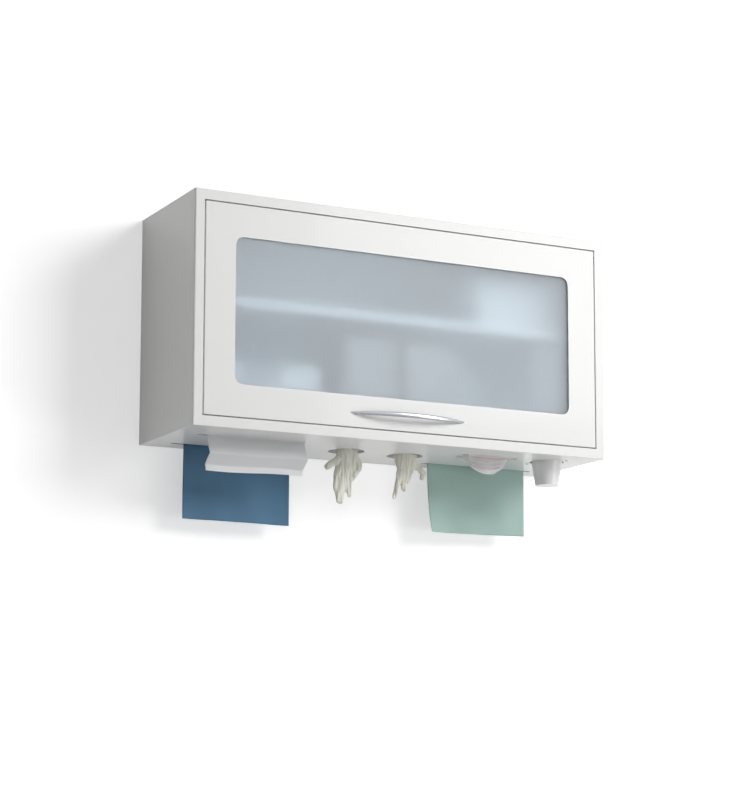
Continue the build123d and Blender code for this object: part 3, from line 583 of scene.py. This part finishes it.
@dataclass
class Supply:
    """A piece made here in place of one CAD node, where that node is.

    Args:
        shop: where its material comes from.
        node: the CAD node.
        slot: its material slot.
        body: the body that it rides on.
    """

    shop: PaintShop
    node: str
    slot: str
    body: str = field(default="case", kw_only=True)

    def __post_init__(self) -> None:
        """Read the node's box and the height of the floor's underside."""
        self.low, self.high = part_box(self.node)
        self.width, self.depth, self.height = (high - low for low, high in zip(self.low, self.high))
        self.middle = (self.low + self.high) / 2
        self.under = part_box("bottom_panel")[0].z

    def finish(self, piece: bpy.types.Object) -> None:
        """Give the piece the material of its slot unless it has one, put it on its body, and hide the
        CAD node.

        Args:
            piece: the finished mesh.
        """
        if not piece.data.materials:
            piece.data.materials.append(self.shop.materials[self.slot])
        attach(piece, self.body)
        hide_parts(self.node)
        LOG.info("%s rides on %s", piece.name, self.body)


@dataclass
class HangingSheet(Supply):
    """A tray sheet that hangs from its slot.

    Args:
        stack: the CAD stack that it hangs from; not used.
        phase: phase of its slight waves.
        curl: how far its left edge turns forward at the bottom, in radians.
        slant: how much lower its right corner hangs than its left one.
        shift: how far it hangs to the right of the CAD sheet.
        curl_share: share of the width that curls.
        least_curl: turn at which the edge is straight, since it can't be 0.
        taut: share of the drop below the slot that hangs without waves.
        slack: share of the drop over which the waves then grow.
        fine_phase: phase of the fine waves, for one radian of the broad ones.
        fine_lean: how far the fine waves run aslant, in radians over the drop.
    """

    stack: str
    phase: float
    curl: float
    slant: float
    shift: float
    columns: int = 72
    rows: int = 44
    curl_share: float = 0.3
    least_curl: float = 1e-6
    taut: float = 0.12
    slack: float = 0.5
    broad: Wave = Wave(2.2 * MM, 7.5)
    fine: Wave = Wave(0.99 * MM, 17.0)
    fine_phase: float = 2.1
    fine_lean: float = 2.0
    thickness: float = 0.35 * MM

    def _place(self, across: float, down: float) -> Point:
        """Return where a point of the flat sheet hangs.

        Args:
            across: share of the width from the left.
            down: share of the drop from the top.

        Returns:
            The point.
        """
        x, y = self.low.x + self.width * across, self.middle.y
        curled = self.width * self.curl_share
        bend_from = self.low.x + curled
        if x < bend_from and self.curl > 0:
            reach = bend_from - x
            turn = max(self.curl * down**2, self.least_curl) / curled
            x = bend_from - math.sin(turn * reach) / turn
            y -= (1 - math.cos(turn * reach)) / turn
        loose = min(1.0, max(0.0, (down - self.taut) / self.slack))
        fine = self.fine.at(across, self.fine_phase * self.phase - self.fine_lean * down)
        y += (self.broad.at(across, self.phase) + fine) * loose
        z = self.high.z - self.height * down - self.slant * (across - 0.5) * down
        return (x + self.shift, y, z)

    def build(self) -> None:
        places, flat = [], []
        for row in range(self.rows + 1):
            for column in range(self.columns + 1):
                across, down = column / self.columns, row / self.rows
                places.append(self._place(across, down))
                flat.append((self.width * across, self.height * down))
        piece = mesh_piece(self.node + "_paper", places, grid_faces(self.columns, self.rows), flat)
        thicken(piece, self.thickness, 0.0)
        self.finish(piece)


@dataclass
class PulledTowel(Supply):
    """The folded towel that hangs from the front slot, its panels creased where they were folded.

    Args:
        reach: how far back each crease lies, in millimetres.
        drop: how far each crease lies below the floor, in millimetres.
        steps_each: steps down each panel.
        slot_back: how far the paper hangs behind the middle of its magazine.
        lift: how unevenly the creases hang, in millimetres.
        sway: how unevenly they stand out, in millimetres.
        bow: how far the panels bow, in millimetres.
    """

    reach: tuple[float, ...] = (0.0, 0.0, -19.0, 8.0, 6.0)
    drop: tuple[float, ...] = (-4.2, 2.0, 39.0, 60.0, 73.0)
    columns: int = 90
    steps_each: int = 14
    slot_back: float = 4.5 * MM
    lift: Wave = Wave(0.7, 5.0)
    lift_phase: float = 0.6
    sway: Wave = Wave(0.7, 3.0)
    bow: Wave = Wave(1.2, 4.0)
    thickness: float = 0.5 * MM

    def _line(self, across: float) -> list[tuple[float, float]]:
        """Return the towel's profile.

        Args:
            across: share of the width from the left.

        Returns:
            Its points, as reach and drop in millimetres.
        """
        lift = self.lift.at(across, self.lift_phase)
        corners = []
        for index, (reach, drop) in enumerate(zip(self.reach, self.drop)):
            loose = max(0, index - 1)
            corners.append((reach + loose * self.sway.at(across, index), drop + loose * lift))
        line: list[tuple[float, float]] = []
        for (r0, d0), (r1, d1) in zip(corners, corners[1:]):
            bow = self.bow.at(across, d0) if line else 0.0
            for step in range(self.steps_each):
                share = step / self.steps_each
                hump = math.sin(math.pi * share) * bow
                line.append((r0 + (r1 - r0) * share + hump, d0 + (d1 - d0) * share))
        line.append(corners[-1])
        return line

    def build(self) -> None:
        slot_y = sum(corner.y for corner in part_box("towel_magazine")) / 2 + self.slot_back
        rows = self.steps_each * (len(self.reach) - 1)
        places, flat = [], []
        for column in range(self.columns + 1):
            across = column / self.columns * self.width
            line = self._line(column / self.columns)
            run = 0.0
            for row, (reach, drop) in enumerate(line):
                if row:
                    run += math.dist(line[row], line[row - 1]) * MM
                places.append((self.low.x + across, slot_y + reach * MM, self.under - drop * MM))
                flat.append((across, run))
        piece = mesh_piece("towel_paper", places, grid_faces(rows, self.columns), flat)
        thicken(piece, self.thickness, 0.0)
        self.finish(piece)


@dataclass(frozen=True)
class Limb:
    """One part of a limp glove.

    Args:
        path: places as (right, back, below the case) in millimetres from the outlet's centre.
        wide: half width at each place.
        deep: half depth at each place.
    """

    path: tuple[Point, ...]
    wide: tuple[float, ...]
    deep: tuple[float, ...]


@dataclass
class LimpGlove(Supply):
    """A thin glove that hangs half pulled out of its box: lofted limbs, melted together and creased.

    Args:
        outlet: middle of the rack over its outlet.
        limbs: its cuff, palm and fingers.
        seed: which creases it has.
        steps: rings between two places of a limb.
        tip: how far a limb's tip stands out, as a share of its half width.
        tip_size: size of the last ring, as a share of the one before.
        voxel: size of the cells that melt the limbs together.
        long_folds: how often the long creases follow each other, along each axis.
        fine_folds: how often the fine ones do.
        ridge: height at which a long crease turns from ridge to hollow.
        cuff_share: share of the creases' depth at the cuff.
        cuff_reach: drop over which they gain their full depth.
    """

    outlet: Vector
    limbs: tuple[Limb, ...]
    seed: int
    around: int = 28
    steps: int = 6
    tip: float = 0.6
    tip_size: float = 0.55
    voxel: float = 1.1 * MM
    soften: int = 4
    long_folds: Point = (105.0, 70.0, 17.0)
    fine_folds: Point = (300.0, 160.0, 70.0)
    ridge: float = 0.6
    long_share: float = 0.8
    fine_share: float = 0.25
    crease_depth: float = 3.2 * MM
    cuff_share: float = 0.35
    cuff_reach: float = 30.0 * MM

    def _limb(self, limb: Limb) -> tuple[list[Vector], Faces]:
        """Loft one limb.

        Args:
            limb: its places and half sizes.

        Returns:
            Its points and its faces.
        """
        start = Vector((self.outlet.x, self.outlet.y, self.under))
        places = [start + Vector((x, y, -z)) * MM for x, y, z in limb.path]
        centres, wide, deep = [], [], []
        for index in range(len(places) - 1):
            for step in range(self.steps):
                share = step / self.steps
                centres.append(places[index].lerp(places[index + 1], share))
                wide.append(limb.wide[index] * (1 - share) + limb.wide[index + 1] * share)
                deep.append(limb.deep[index] * (1 - share) + limb.deep[index + 1] * share)
        centres.append(places[-1])
        wide.append(limb.wide[-1])
        deep.append(limb.deep[-1])
        inner = [(a + b * 2 + c) / 4 for a, b, c in zip(centres, centres[1:], centres[2:])]
        smooth = [centres[0], *inner, centres[-1]]
        angles = [2 * math.pi * step / self.around for step in range(self.around)]
        sections = []
        for index, centre in enumerate(smooth):
            before, after = smooth[max(0, index - 1)], smooth[min(len(smooth) - 1, index + 1)]
            along = (after - before).normalized()
            side = Vector((0, 1, 0)).cross(along).normalized()
            back = along.cross(side) * deep[index] * MM
            side = side * wide[index] * MM
            sections.append([centre + side * math.cos(turn) + back * math.sin(turn) for turn in angles])
        end = smooth[-1] + (smooth[-1] - smooth[-2]).normalized() * wide[-1] * self.tip * MM
        sections.append([end.lerp(point, 1 - self.tip_size) for point in sections[-1]])
        return tube_mesh(sections)

    def build(self) -> None:
        """Make the glove from its limbs."""
        points: list[Vector] = []
        faces: Faces = []
        for limb in self.limbs:
            more, joined = self._limb(limb)
            faces += [tuple(number + len(points) for number in face) for face in joined]
            points += more
        piece = mesh_piece(self.node + "_film", points, faces)
        mould = piece.modifiers.new("melt", "REMESH")
        mould.mode = "VOXEL"
        mould.voxel_size = self.voxel
        piece.modifiers.new("soften", "SMOOTH").iterations = self.soften
        bake(piece)
        self._crease(piece.data)
        piece.data.shade_smooth()
        self.finish(piece)

    def _crease(self, mesh: bpy.types.Mesh) -> None:
        """Press long creases into the film, deeper away from the cuff.

        Args:
            mesh: the melted glove.
        """
        top = max(vertex.co.z for vertex in mesh.vertices)
        shift = Vector((self.seed * 3.1, self.seed * 1.7, 0.0))
        long_folds, fine_folds = Vector(self.long_folds), Vector(self.fine_folds)
        moves = []
        for vertex in mesh.vertices:
            below = min(1.0, self.cuff_share + (top - vertex.co.z) / self.cuff_reach)
            crest = 1 - 2 * abs(noise.noise(vertex.co * long_folds + shift)) - self.ridge
            fine = noise.noise(vertex.co * fine_folds - shift)
            depth = (crest * self.long_share + fine * self.fine_share) * self.crease_depth
            moves.append(vertex.normal * depth * below)
        for vertex, move in zip(mesh.vertices, moves):
            vertex.co += move


@dataclass
class PulledMask(Supply):
    """A pleated mask pulled half way out: a sling of cloth whose pleats lie over each other.

    Args:
        pleats: pleats on each side of its lowest line.
        lap: how far each pleat stands out over the next.
        tuck: how far it reaches up into the outlet.
        cut_length: length that the mask was cut to; not used.
        inset: how far it stays inside the CAD loop.
        gather: how far its ends draw in at the lowest line.
        steepness: how fast it drops from its ends, less for faster.
        bowl: how fast it drops from the outlet's edges.
        spread: how its pleats spread from the lowest line.
        crumple_side: how far its small folds move it sideways.
        crumple_drop: how far they move it up and down.
        bulge_depth: how far its broad bulges move it forward and back.
        lean: how it leans forward and back.
        lean_turn: how fast that changes along it.
    """

    pleats: int = 4
    lap: float = 7.0 * MM
    along_steps: int = 90
    pleat_steps: int = 8
    thickness: float = 0.4 * MM
    tuck: float = 4.0 * MM
    cut_length: float = 175.0 * MM
    inset: float = 2.5 * MM
    gather: float = 8.0 * MM
    steepness: float = 0.7
    bowl: float = 0.85
    spread: float = 0.8
    crumple: Crumple = Crumple(9.0, 7.0, 3.0)
    crumple_side: float = 2.5 * MM
    crumple_drop: float = 1.3 * MM
    bulge: Crumple = Crumple(6.0, 4.0, 9.0)
    bulge_depth: float = 3.0 * MM
    lean: Wave = Wave(1.2 * MM, 5.0)
    lean_turn: float = 2.2

    def _place(self, share: float, side: float) -> Point:
        """Return where a point of the cloth hangs.

        Args:
            share: place along the sling, from its left end to its right.
            side: place across it, from the front edge of the outlet, round the lowest line, to the back.

        Returns:
            The point.
        """
        angle = math.pi * share
        slack = math.sin(angle)
        out = abs(side * 2 - 1)
        fold = (out * self.pleats) % 1.0
        crumple = self.crumple.at(share, side)
        half = self.width / 2 - self.inset - self.gather * (1 - out) * slack
        x = self.middle.x - half * math.cos(angle) + self.crumple_side * crumple
        forward = self.depth / 2 * out**self.spread * (1 if side > 0.5 else -1)
        y = self.middle.y + forward - self.lap * (1 - fold) ** 2 * slack
        y += self.lean.at(side, self.lean_turn * angle) + self.bulge_depth * self.bulge.at(share, side)
        top = self.under + self.tuck
        drop = (top - self.low.z - self.inset) * slack**self.steepness * (1 - out) ** self.bowl
        z = top - drop - self.crumple_drop * crumple * slack - self.lap / 2 * (1 - fold) * slack * out
        return (x, y, z)

    def build(self) -> None:
        stations = self.pleats * self.pleat_steps * 2
        steps = [
            (step / self.along_steps, cross / stations)
            for step in range(self.along_steps + 1)
            for cross in range(stations + 1)
        ]
        places = [self._place(*step) for step in steps]
        piece = mesh_piece("mask_cloth_sling", places, grid_faces(stations, self.along_steps), steps)
        thicken(piece, self.thickness, -1.0)
        piece.data.shade_smooth()
        self.finish(piece)


@dataclass
class LeafStack(Supply):
    """A stack of folded leaves, repeated by geometry nodes between the faces of its CAD block.

    Args:
        leaf: height of one leaf.
        seed: seed of the places where the leaves stray to.
        stray: how far a leaf may stray.
        fold: radius of a leaf's folds, as a share of its height.
    """

    leaf: float
    seed: int
    stray: float = 0.6 * MM
    fold: float = 0.46
    fold_steps: int = 4

    def _leaf_mesh(self) -> bpy.types.Mesh:
        """Return one folded leaf: a flat pad with a round fold along its front and back."""
        profile = []
        radius = self.leaf * self.fold
        side, front = self.width / 2 - self.stray, self.depth / 2 - self.stray
        for end in (-1, 1):
            for step in range(self.fold_steps + 1):
                angle = -math.pi / 2 + math.pi * step / self.fold_steps
                y = end * (front - radius + radius * math.cos(angle))
                profile.append((y, end * radius * math.sin(angle)))
        sections = [[Vector((x, y, z)) for y, z in profile] for x in (-side, side)]
        return closed_mesh(self.node + "_leaf", sections)

    def _tree(self, leaf: bpy.types.Object) -> bpy.types.NodeTree:
        """Build the nodes that pile the leaves up.

        Args:
            leaf: one leaf.

        Returns:
            The tree.
        """
        inputs = {"Leaves": "Int", "Rise": "Float", "Stray": "Float", "Base": "Vector"}
        board, given = Board.group("Geometry", self.node + " pile", inputs, {"Pile": "Geometry"})
        asked = given.outputs
        rise = board.node("ShaderNodeCombineXYZ", {"Z": asked["Rise"]})
        line = board.node(
            "GeometryNodeMeshLine",
            {"Count": asked["Leaves"], "Start Location": asked["Base"], "Offset": rise.outputs[0]},
        )
        below = board.math("MULTIPLY", asked["Stray"], -1.0)
        least = board.node("ShaderNodeCombineXYZ", {"X": below, "Y": below})
        most = board.node("ShaderNodeCombineXYZ", {"X": asked["Stray"], "Y": asked["Stray"]})
        shift = board.node(
            "FunctionNodeRandomValue",
            {0: least.outputs[0], 1: most.outputs[0], "Seed": self.seed},
            data_type="FLOAT_VECTOR",
        )
        moved = {"Geometry": line.outputs[0], "Offset": shift.outputs[0]}
        strayed = board.node("GeometryNodeSetPosition", moved)
        board.copies(leaf, self.shop.materials[self.slot], Points=strayed.outputs[0])
        return board.tree

    def build(self) -> None:
        """Pile the leaves up to the CAD block's height."""
        leaf = link_object(self.node + "_leaf", self._leaf_mesh())
        count = int(self.height / self.leaf)
        rise = self.height / count
        base = (self.middle.x, self.middle.y, self.low.z + rise / 2)
        pile = link_object(self.node + "_leaves", bpy.data.meshes.new(self.node + "_leaves"))
        values = {"Leaves": count, "Rise": rise, "Stray": self.stray, "Base": base}
        run_nodes(pile, self._tree(leaf), values)
        bpy.data.objects.remove(leaf)
        self.finish(pile)


@dataclass
class CardBox(Supply):
    """Closed card boxes with tucked flaps, standing on each other in one CAD node.

    Args:
        count: how many there are.
        shade: the finish that they show; the glove boxes show a darker copy of white card, painted
            shade.
        flap_edge: rounding of the flap's edges, as a share of the card.
        tuck: height of the flap.
        flap_front: how far the flap lies behind the CAD block's front.
        flap_root: how far it reaches into the box's front.
        flap_top: how far it ends below the top.
        gap: gap between one box and the next.
    """

    count: int = 1
    shade: str = "white_card"
    card: float = 0.5 * MM
    edge: float = 0.9 * MM
    flap_edge: float = 0.4
    tuck: float = 22.0 * MM
    margin: float = 3.0 * MM
    flap_front: float = 0.05 * MM
    flap_root: float = 0.1 * MM
    flap_top: float = 1.2 * MM
    gap: float = 0.15 * MM

    def build(self) -> None:
        """Make the boxes with their flaps and seams."""
        rise = self.height / self.count
        front = self.low.y + self.card
        mould = bmesh.new()
        for row in range(self.count):
            foot = self.low.z + rise * row
            head = foot + rise
            low, high = (self.low.x, front, foot), (self.high.x, self.high.y, head - self.gap)
            self._block(mould, Vector(low), Vector(high), self.edge)
            low = (self.low.x + self.margin, self.low.y + self.flap_front, head - self.tuck)
            high = (self.high.x - self.margin, front + self.flap_root, head - self.flap_top)
            self._block(mould, Vector(low), Vector(high), self.card * self.flap_edge)
        mesh = bpy.data.meshes.new(self.node + "_card")
        mould.to_mesh(mesh)
        mould.free()
        piece = link_object(self.node + "_card", mesh)
        piece.data.materials.append(self.shop.materials[self.shade])
        self.finish(piece)

    @staticmethod
    def _block(mould: bmesh.types.BMesh, low: Vector, high: Vector, edge: float) -> None:
        """Add one block with rounded edges.

        Args:
            mould: the mesh that it goes into.
            low: its lowest corner.
            high: its highest corner.
            edge: rounding of its edges.
        """
        made = bmesh.ops.create_cube(mould, size=1.0)["verts"]
        bmesh.ops.scale(mould, verts=made, vec=high - low)
        bmesh.ops.translate(mould, verts=made, vec=(low + high) / 2)
        edges = list({line for vertex in made for line in vertex.link_edges})
        bmesh.ops.bevel(mould, geom=edges, offset=edge, segments=2, affect="EDGES", profile=0.5)


@dataclass
class CrossScrews(Supply):
    """Pan-head screws with a cross recess, instanced by geometry nodes where the CAD screws stand.

    Args:
        columns: how many stand side by side.
        rows: how many rows of them there are.
        facing: direction that the heads face.
        diagonal: true if the two screws stand at opposite corners of the node's box.
        crown: radius of the flat on top of a head.
        recess: reach of the cross, as a share of the head's radius.
        core: radius of the round middle of the cross, as a share of its reach.
        sink: depth of the cross, as a share of the head's height.
    """

    columns: int
    rows: int
    facing: Point
    diagonal: bool = False
    head_radius: float = 3.5 * MM
    head_height: float = 1.8 * MM
    crown: float = 0.35 * MM
    rings: int = 7
    around: int = 40
    recess: float = 0.62
    core: float = 0.35
    sink: float = 0.55

    def _head(self) -> bpy.types.Mesh:
        """Return one screw head that faces +Z, its seat at the origin, with a cross cut into it."""
        sections = []
        for ring in range(self.rings + 1):
            angle = math.pi / 2 * ring / self.rings
            radius = self.head_radius * math.cos(angle) ** 0.5 if ring < self.rings else self.crown
            points = []
            for step in range(self.around):
                turn = 2 * math.pi * step / self.around
                arm = self.core + (1 - self.core) * abs(math.cos(turn * 2)) ** 3
                cut = self.sink if radius < self.head_radius * self.recess * arm else 0.0
                z = self.head_height * (math.sin(angle) - cut)
                points.append(Vector((radius * math.cos(turn), radius * math.sin(turn), z)))
            sections.append(points)
        return closed_mesh(self.node + "_head", sections)

    def _places(self) -> list[Point]:
        """Return the seats of the heads."""
        axis, other = (2, 1) if self.facing[2] else (1, 2)
        seat = self.low.z + self.head_height if axis == 2 else self.high.y - self.head_height
        places = []
        for column in range(self.columns):
            for row in range(self.rows):
                if self.diagonal and column == row:
                    continue
                place = [seat, seat, seat]
                for index, step, count in ((0, column, self.columns), (other, row, self.rows)):
                    span = self.high[index] - self.low[index] - 2 * self.head_radius
                    place[index] = self.low[index] + self.head_radius + span * (step / max(1, count - 1))
                places.append(tuple(place))
        return places

    def build(self) -> None:
        """Place the heads and replace the CAD screws."""
        head = link_object(self.node + "_head", self._head())
        seats = bpy.data.meshes.new(self.node + "_heads")
        seats.from_pydata(self._places(), [], [])
        piece = link_object(self.node + "_heads", seats)
        inputs = {"Seats": "Geometry", "Turn": "Vector"}
        board, given = Board.group("Geometry", self.node + " seats", inputs, {"Heads": "Geometry"})
        turn = board.node("FunctionNodeEulerToRotation", {0: given.outputs["Turn"]})
        steel = self.shop.materials[self.slot]
        board.copies(head, steel, Points=given.outputs["Seats"], Rotation=turn.outputs[0])
        upright = Vector((0, 0, 1)).rotation_difference(Vector(self.facing)).to_euler()
        run_nodes(piece, board.tree, {"Turn": tuple(upright)})
        bpy.data.objects.remove(head)
        self.finish(piece)


@dataclass(frozen=True)
class Lamp:
    """One soft square lamp.

    Args:
        place: where it hangs.
        aim: what it faces.
        size: side of its face.
    """

    name: str
    place: Point
    aim: Point
    size: float
    power: float

    def hang(self) -> None:
        """Hang the lamp."""
        data = bpy.data.lights.new(self.name, "AREA")
        data.shape = "SQUARE"
        data.size = self.size
        data.energy = self.power
        lamp = link_object(self.name, data)
        lamp.location = self.place
        lamp.rotation_euler = (Vector(self.aim) - Vector(self.place)).to_track_quat("-Z", "Y").to_euler()


@dataclass
class Studio:
    """The wall and floor, the lamps and the camera of the photograph.

    Args:
        place: where the camera stands.
        turn: its turn to the right, its tilt upwards and its roll, in degrees.
        focal_px: focal length in pixels of the frame.
        horizon_px: how far the camera's axis lies below the frame's middle.
        reach: half width of the wall and the floor.
        wall_lift: light that camera, glossy and transmission rays find on the wall besides the lamps'.
        floor_lift: the same on the floor.
        lamps: the key lamp to the right and above, and a low one to the right of the floor's outlets.
        lit: strength of the white surroundings as a light.
        shown: their strength as a background.
    """

    place: Point = (-2.2447, -4.5311, -1.0261)
    turn: Point = (27.096, 7.754, 0.103)
    focal_px: float = 2260.3
    horizon_px: float = 100.0
    long_side_px: float = 800.0
    sensor: float = 36.0
    sight: float = 50.0
    wall_y: float = 0.001
    floor_z: float = -1.35
    reach: float = 9.0
    wall_grey: float = 0.84
    wall_lift: float = 0.46
    floor_grey: float = 0.66
    floor_lift: float = 0.15
    lamps: tuple[Lamp, ...] = (
        Lamp("key", (5.2, -7.4, 3.2), (0.0, -0.1, 0.0), 3.8, 535.0),
        Lamp("low", (2.4, -2.6, -1.1), (0.1, -0.1, -0.2), 1.2, 26.0),
    )
    lit: float = 0.19
    shown: float = 1.0

    def build(self) -> None:
        """Set up everything that isn't part of the cabinet."""
        bpy.context.scene.view_settings.view_transform = "Standard"
        self._camera()
        self._backdrop()
        for lamp in self.lamps:
            lamp.hang()
        self._world()

    def _camera(self) -> None:
        """Place the camera that the photograph was taken with."""
        yaw, pitch, roll = (math.radians(angle) for angle in self.turn)
        flat = math.cos(pitch)
        ahead = Vector((math.sin(yaw) * flat, math.cos(yaw) * flat, math.sin(pitch)))
        level = Vector((math.cos(yaw), -math.sin(yaw), 0.0))
        upward = level.cross(ahead)
        right = math.cos(roll) * level + math.sin(roll) * upward
        up = -math.sin(roll) * level + math.cos(roll) * upward
        data = bpy.data.cameras.new("camera")
        data.sensor_width = self.sensor
        data.lens = self.focal_px * self.sensor / self.long_side_px
        data.shift_y = self.horizon_px / self.long_side_px
        data.clip_end = self.sight
        camera = link_object("camera", data)
        turned = Matrix((right, up, -ahead)).transposed().to_4x4()
        camera.matrix_world = Matrix.Translation(self.place) @ turned
        bpy.context.scene.camera = camera

    def _backdrop(self) -> None:
        """Put up the wall that the cabinet hangs on, and the floor."""
        side, y, z = self.reach, self.wall_y, self.floor_z
        corners = [(-side, y, z), (side, y, z), (side, y, side), (-side, y, side)]
        wall = self._plane("wall", corners, self.wall_grey, self.wall_lift)
        corners = [(-side, -side, z), (side, -side, z), (side, side, z), (-side, side, z)]
        floor = self._plane("floor", corners, self.floor_grey, self.floor_lift)

    @staticmethod
    def _plane(name: str, corners: list[Point], grey: float, lift: float) -> bpy.types.Object:
        """Make a pale matt plane that shows from its front only.

        Args:
            name: its name.
            corners: its corners, anticlockwise as seen from its front.
            grey: its grey.
            lift: light that camera, glossy and transmission rays find on it besides the lamps'.

        Returns:
            The plane.
        """
        made, board = start_material(name)
        matt = board.node("ShaderNodeBsdfDiffuse", {"Color": (grey, grey, grey, 1.0)})
        glow = board.node("ShaderNodeEmission", {"Strength": board.math("MULTIPLY", board.seen(), lift)})
        both = board.node("ShaderNodeAddShader", {0: matt.outputs[0], 1: glow.outputs[0]})
        clear = board.node("ShaderNodeBsdfTransparent")
        behind = board.node("ShaderNodeNewGeometry").outputs["Backfacing"]
        shown = board.node("ShaderNodeMixShader", {0: behind, 1: both.outputs[0], 2: clear.outputs[0]})
        board.node("ShaderNodeOutputMaterial", {"Surface": shown.outputs[0]})
        plane = mesh_piece(name, corners, [(0, 1, 2, 3)])
        plane.data.materials.append(made)
        return plane

    def _world(self) -> None:
        """Make the white surroundings, dimmer as a light than as a background."""
        world = bpy.data.worlds.new("studio")
        world.use_nodes = True
        bpy.context.scene.world = world
        board = Board(world.node_tree)
        more = board.math("MULTIPLY", board.seen(), self.shown - self.lit)
        strength = board.math("ADD", self.lit, more)
        sky = board.node("ShaderNodeBackground", {"Color": (1.0, 1.0, 1.0, 1.0), "Strength": strength})
        board.node("ShaderNodeOutputWorld", {"Surface": sky.outputs[0]})


LEFT_LIMBS = (
    Limb(
        ((0, 0, -4), (1, 0, 14), (0, 0, 36), (-9, 0, 60), (-10, 0, 84)),
        (25, 27, 28, 25, 21),
        (13, 12, 9, 7, 5),
    ),
    Limb(((-12, -1, 12), (-34, -4, 27), (-54, -6, 40)), (9, 8, 6.5), (7, 6, 5)),
    Limb(((-18, -2, 60), (-21, -2, 86), (-17, -3, 114)), (15, 14, 9), (6, 5.5, 4.5)),
    Limb(((2, 1, 60), (3, 0, 82), (6, 0, 99)), (11, 9, 5.5), (6, 5, 4)),
    Limb(((14, 2, 8), (27, 0, 24), (26, -2, 38), (12, -4, 54)), (10, 9, 8, 7), (8, 7, 6, 5)),
)
RIGHT_LIMBS = (
    Limb(((0, 0, -4), (0, 0, 14), (-1, 0, 34), (-5, 0, 58)), (29, 26, 20, 14), (13, 12, 9, 6)),
    Limb(((-15, -2, 36), (-21, -3, 64), (-31, -5, 98)), (7.5, 6, 4.5), (6, 5, 4)),
    Limb(((-6, 0, 50), (-5, 0, 66), (-3, -1, 78)), (10, 8, 5), (6, 5, 4)),
    Limb(((16, 4, 12), (34, 5, 26), (49, 6, 34), (43, 6, 50)), (8, 8, 7.5, 5), (7, 6, 5, 4)),
)


@dataclass
class Cabinet:
    """The whole cabinet: the CAD nodes with their finishes, and the pieces made here."""

    record: dict
    nodes: dict
    shop: PaintShop = field(default_factory=PaintShop)

    def paint_nodes(self) -> None:
        """Give every CAD node the material of its slot."""
        for part in self.record["subparts"]:
            node = self.nodes[part["node"]]
            node.data.materials.clear()
            node.data.materials.append(self.shop.materials[part["material_slot"]])

    def build(self) -> None:
        """Make every piece in order."""
        self.paint_nodes()
        shop = self.shop
        left, right = (sum(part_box(side + "_glove_rack"), Vector()) / 2 for side in ("left", "right"))
        pieces = (
            HangingSheet(shop, "blue_sheet", "blue_paper", "blue_stack", 0.8, 0.0, 2 * MM, 4 * MM),
            HangingSheet(shop, "green_sheet", "green_paper", "green_stack", 2.6, 0.5, -4 * MM, 2 * MM),
            PulledTowel(shop, "hanging_towel", "white_paper"),
            LimpGlove(shop, "left_glove", "glove_film", left, LEFT_LIMBS, 3),
            LimpGlove(shop, "right_glove", "glove_film", right, RIGHT_LIMBS, 8),
            PulledMask(shop, "mask_loop", "mask_cloth"),
            LeafStack(shop, "towel_stack", "white_paper", 3.2 * MM, 5),
            LeafStack(shop, "blue_stack", "blue_paper", 2.6 * MM, 6),
            LeafStack(shop, "green_stack", "green_paper", 2.6 * MM, 7),
            # the glove boxes wear the darkened white card, painted shade
            CardBox(shop, "left_glove_boxes", "white_card", 3, "grey_card"),
            CardBox(shop, "right_glove_boxes", "white_card", 3, "grey_card"),
            CardBox(shop, "mask_box", "white_card"),
            CardBox(shop, "spare_carton", "white_card"),
            CrossScrews(shop, "cup_ring_screws", "steel", 2, 2, (0, 0, -1), diagonal=True),
            CrossScrews(shop, "liner_screws", "steel", 4, 2, (0, 1, 0), body="door"),
        )
        for piece in pieces:
            piece.build()


def main(frame: dict) -> None:
    """Build the cabinet and the studio.
    """
    logging.basicConfig(level=logging.INFO, format="%(message)s")
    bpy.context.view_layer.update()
    Cabinet(frame["record"], frame["nodes"]).build()
    Studio().build()


if __name__ == "__main__":
    main(frame)
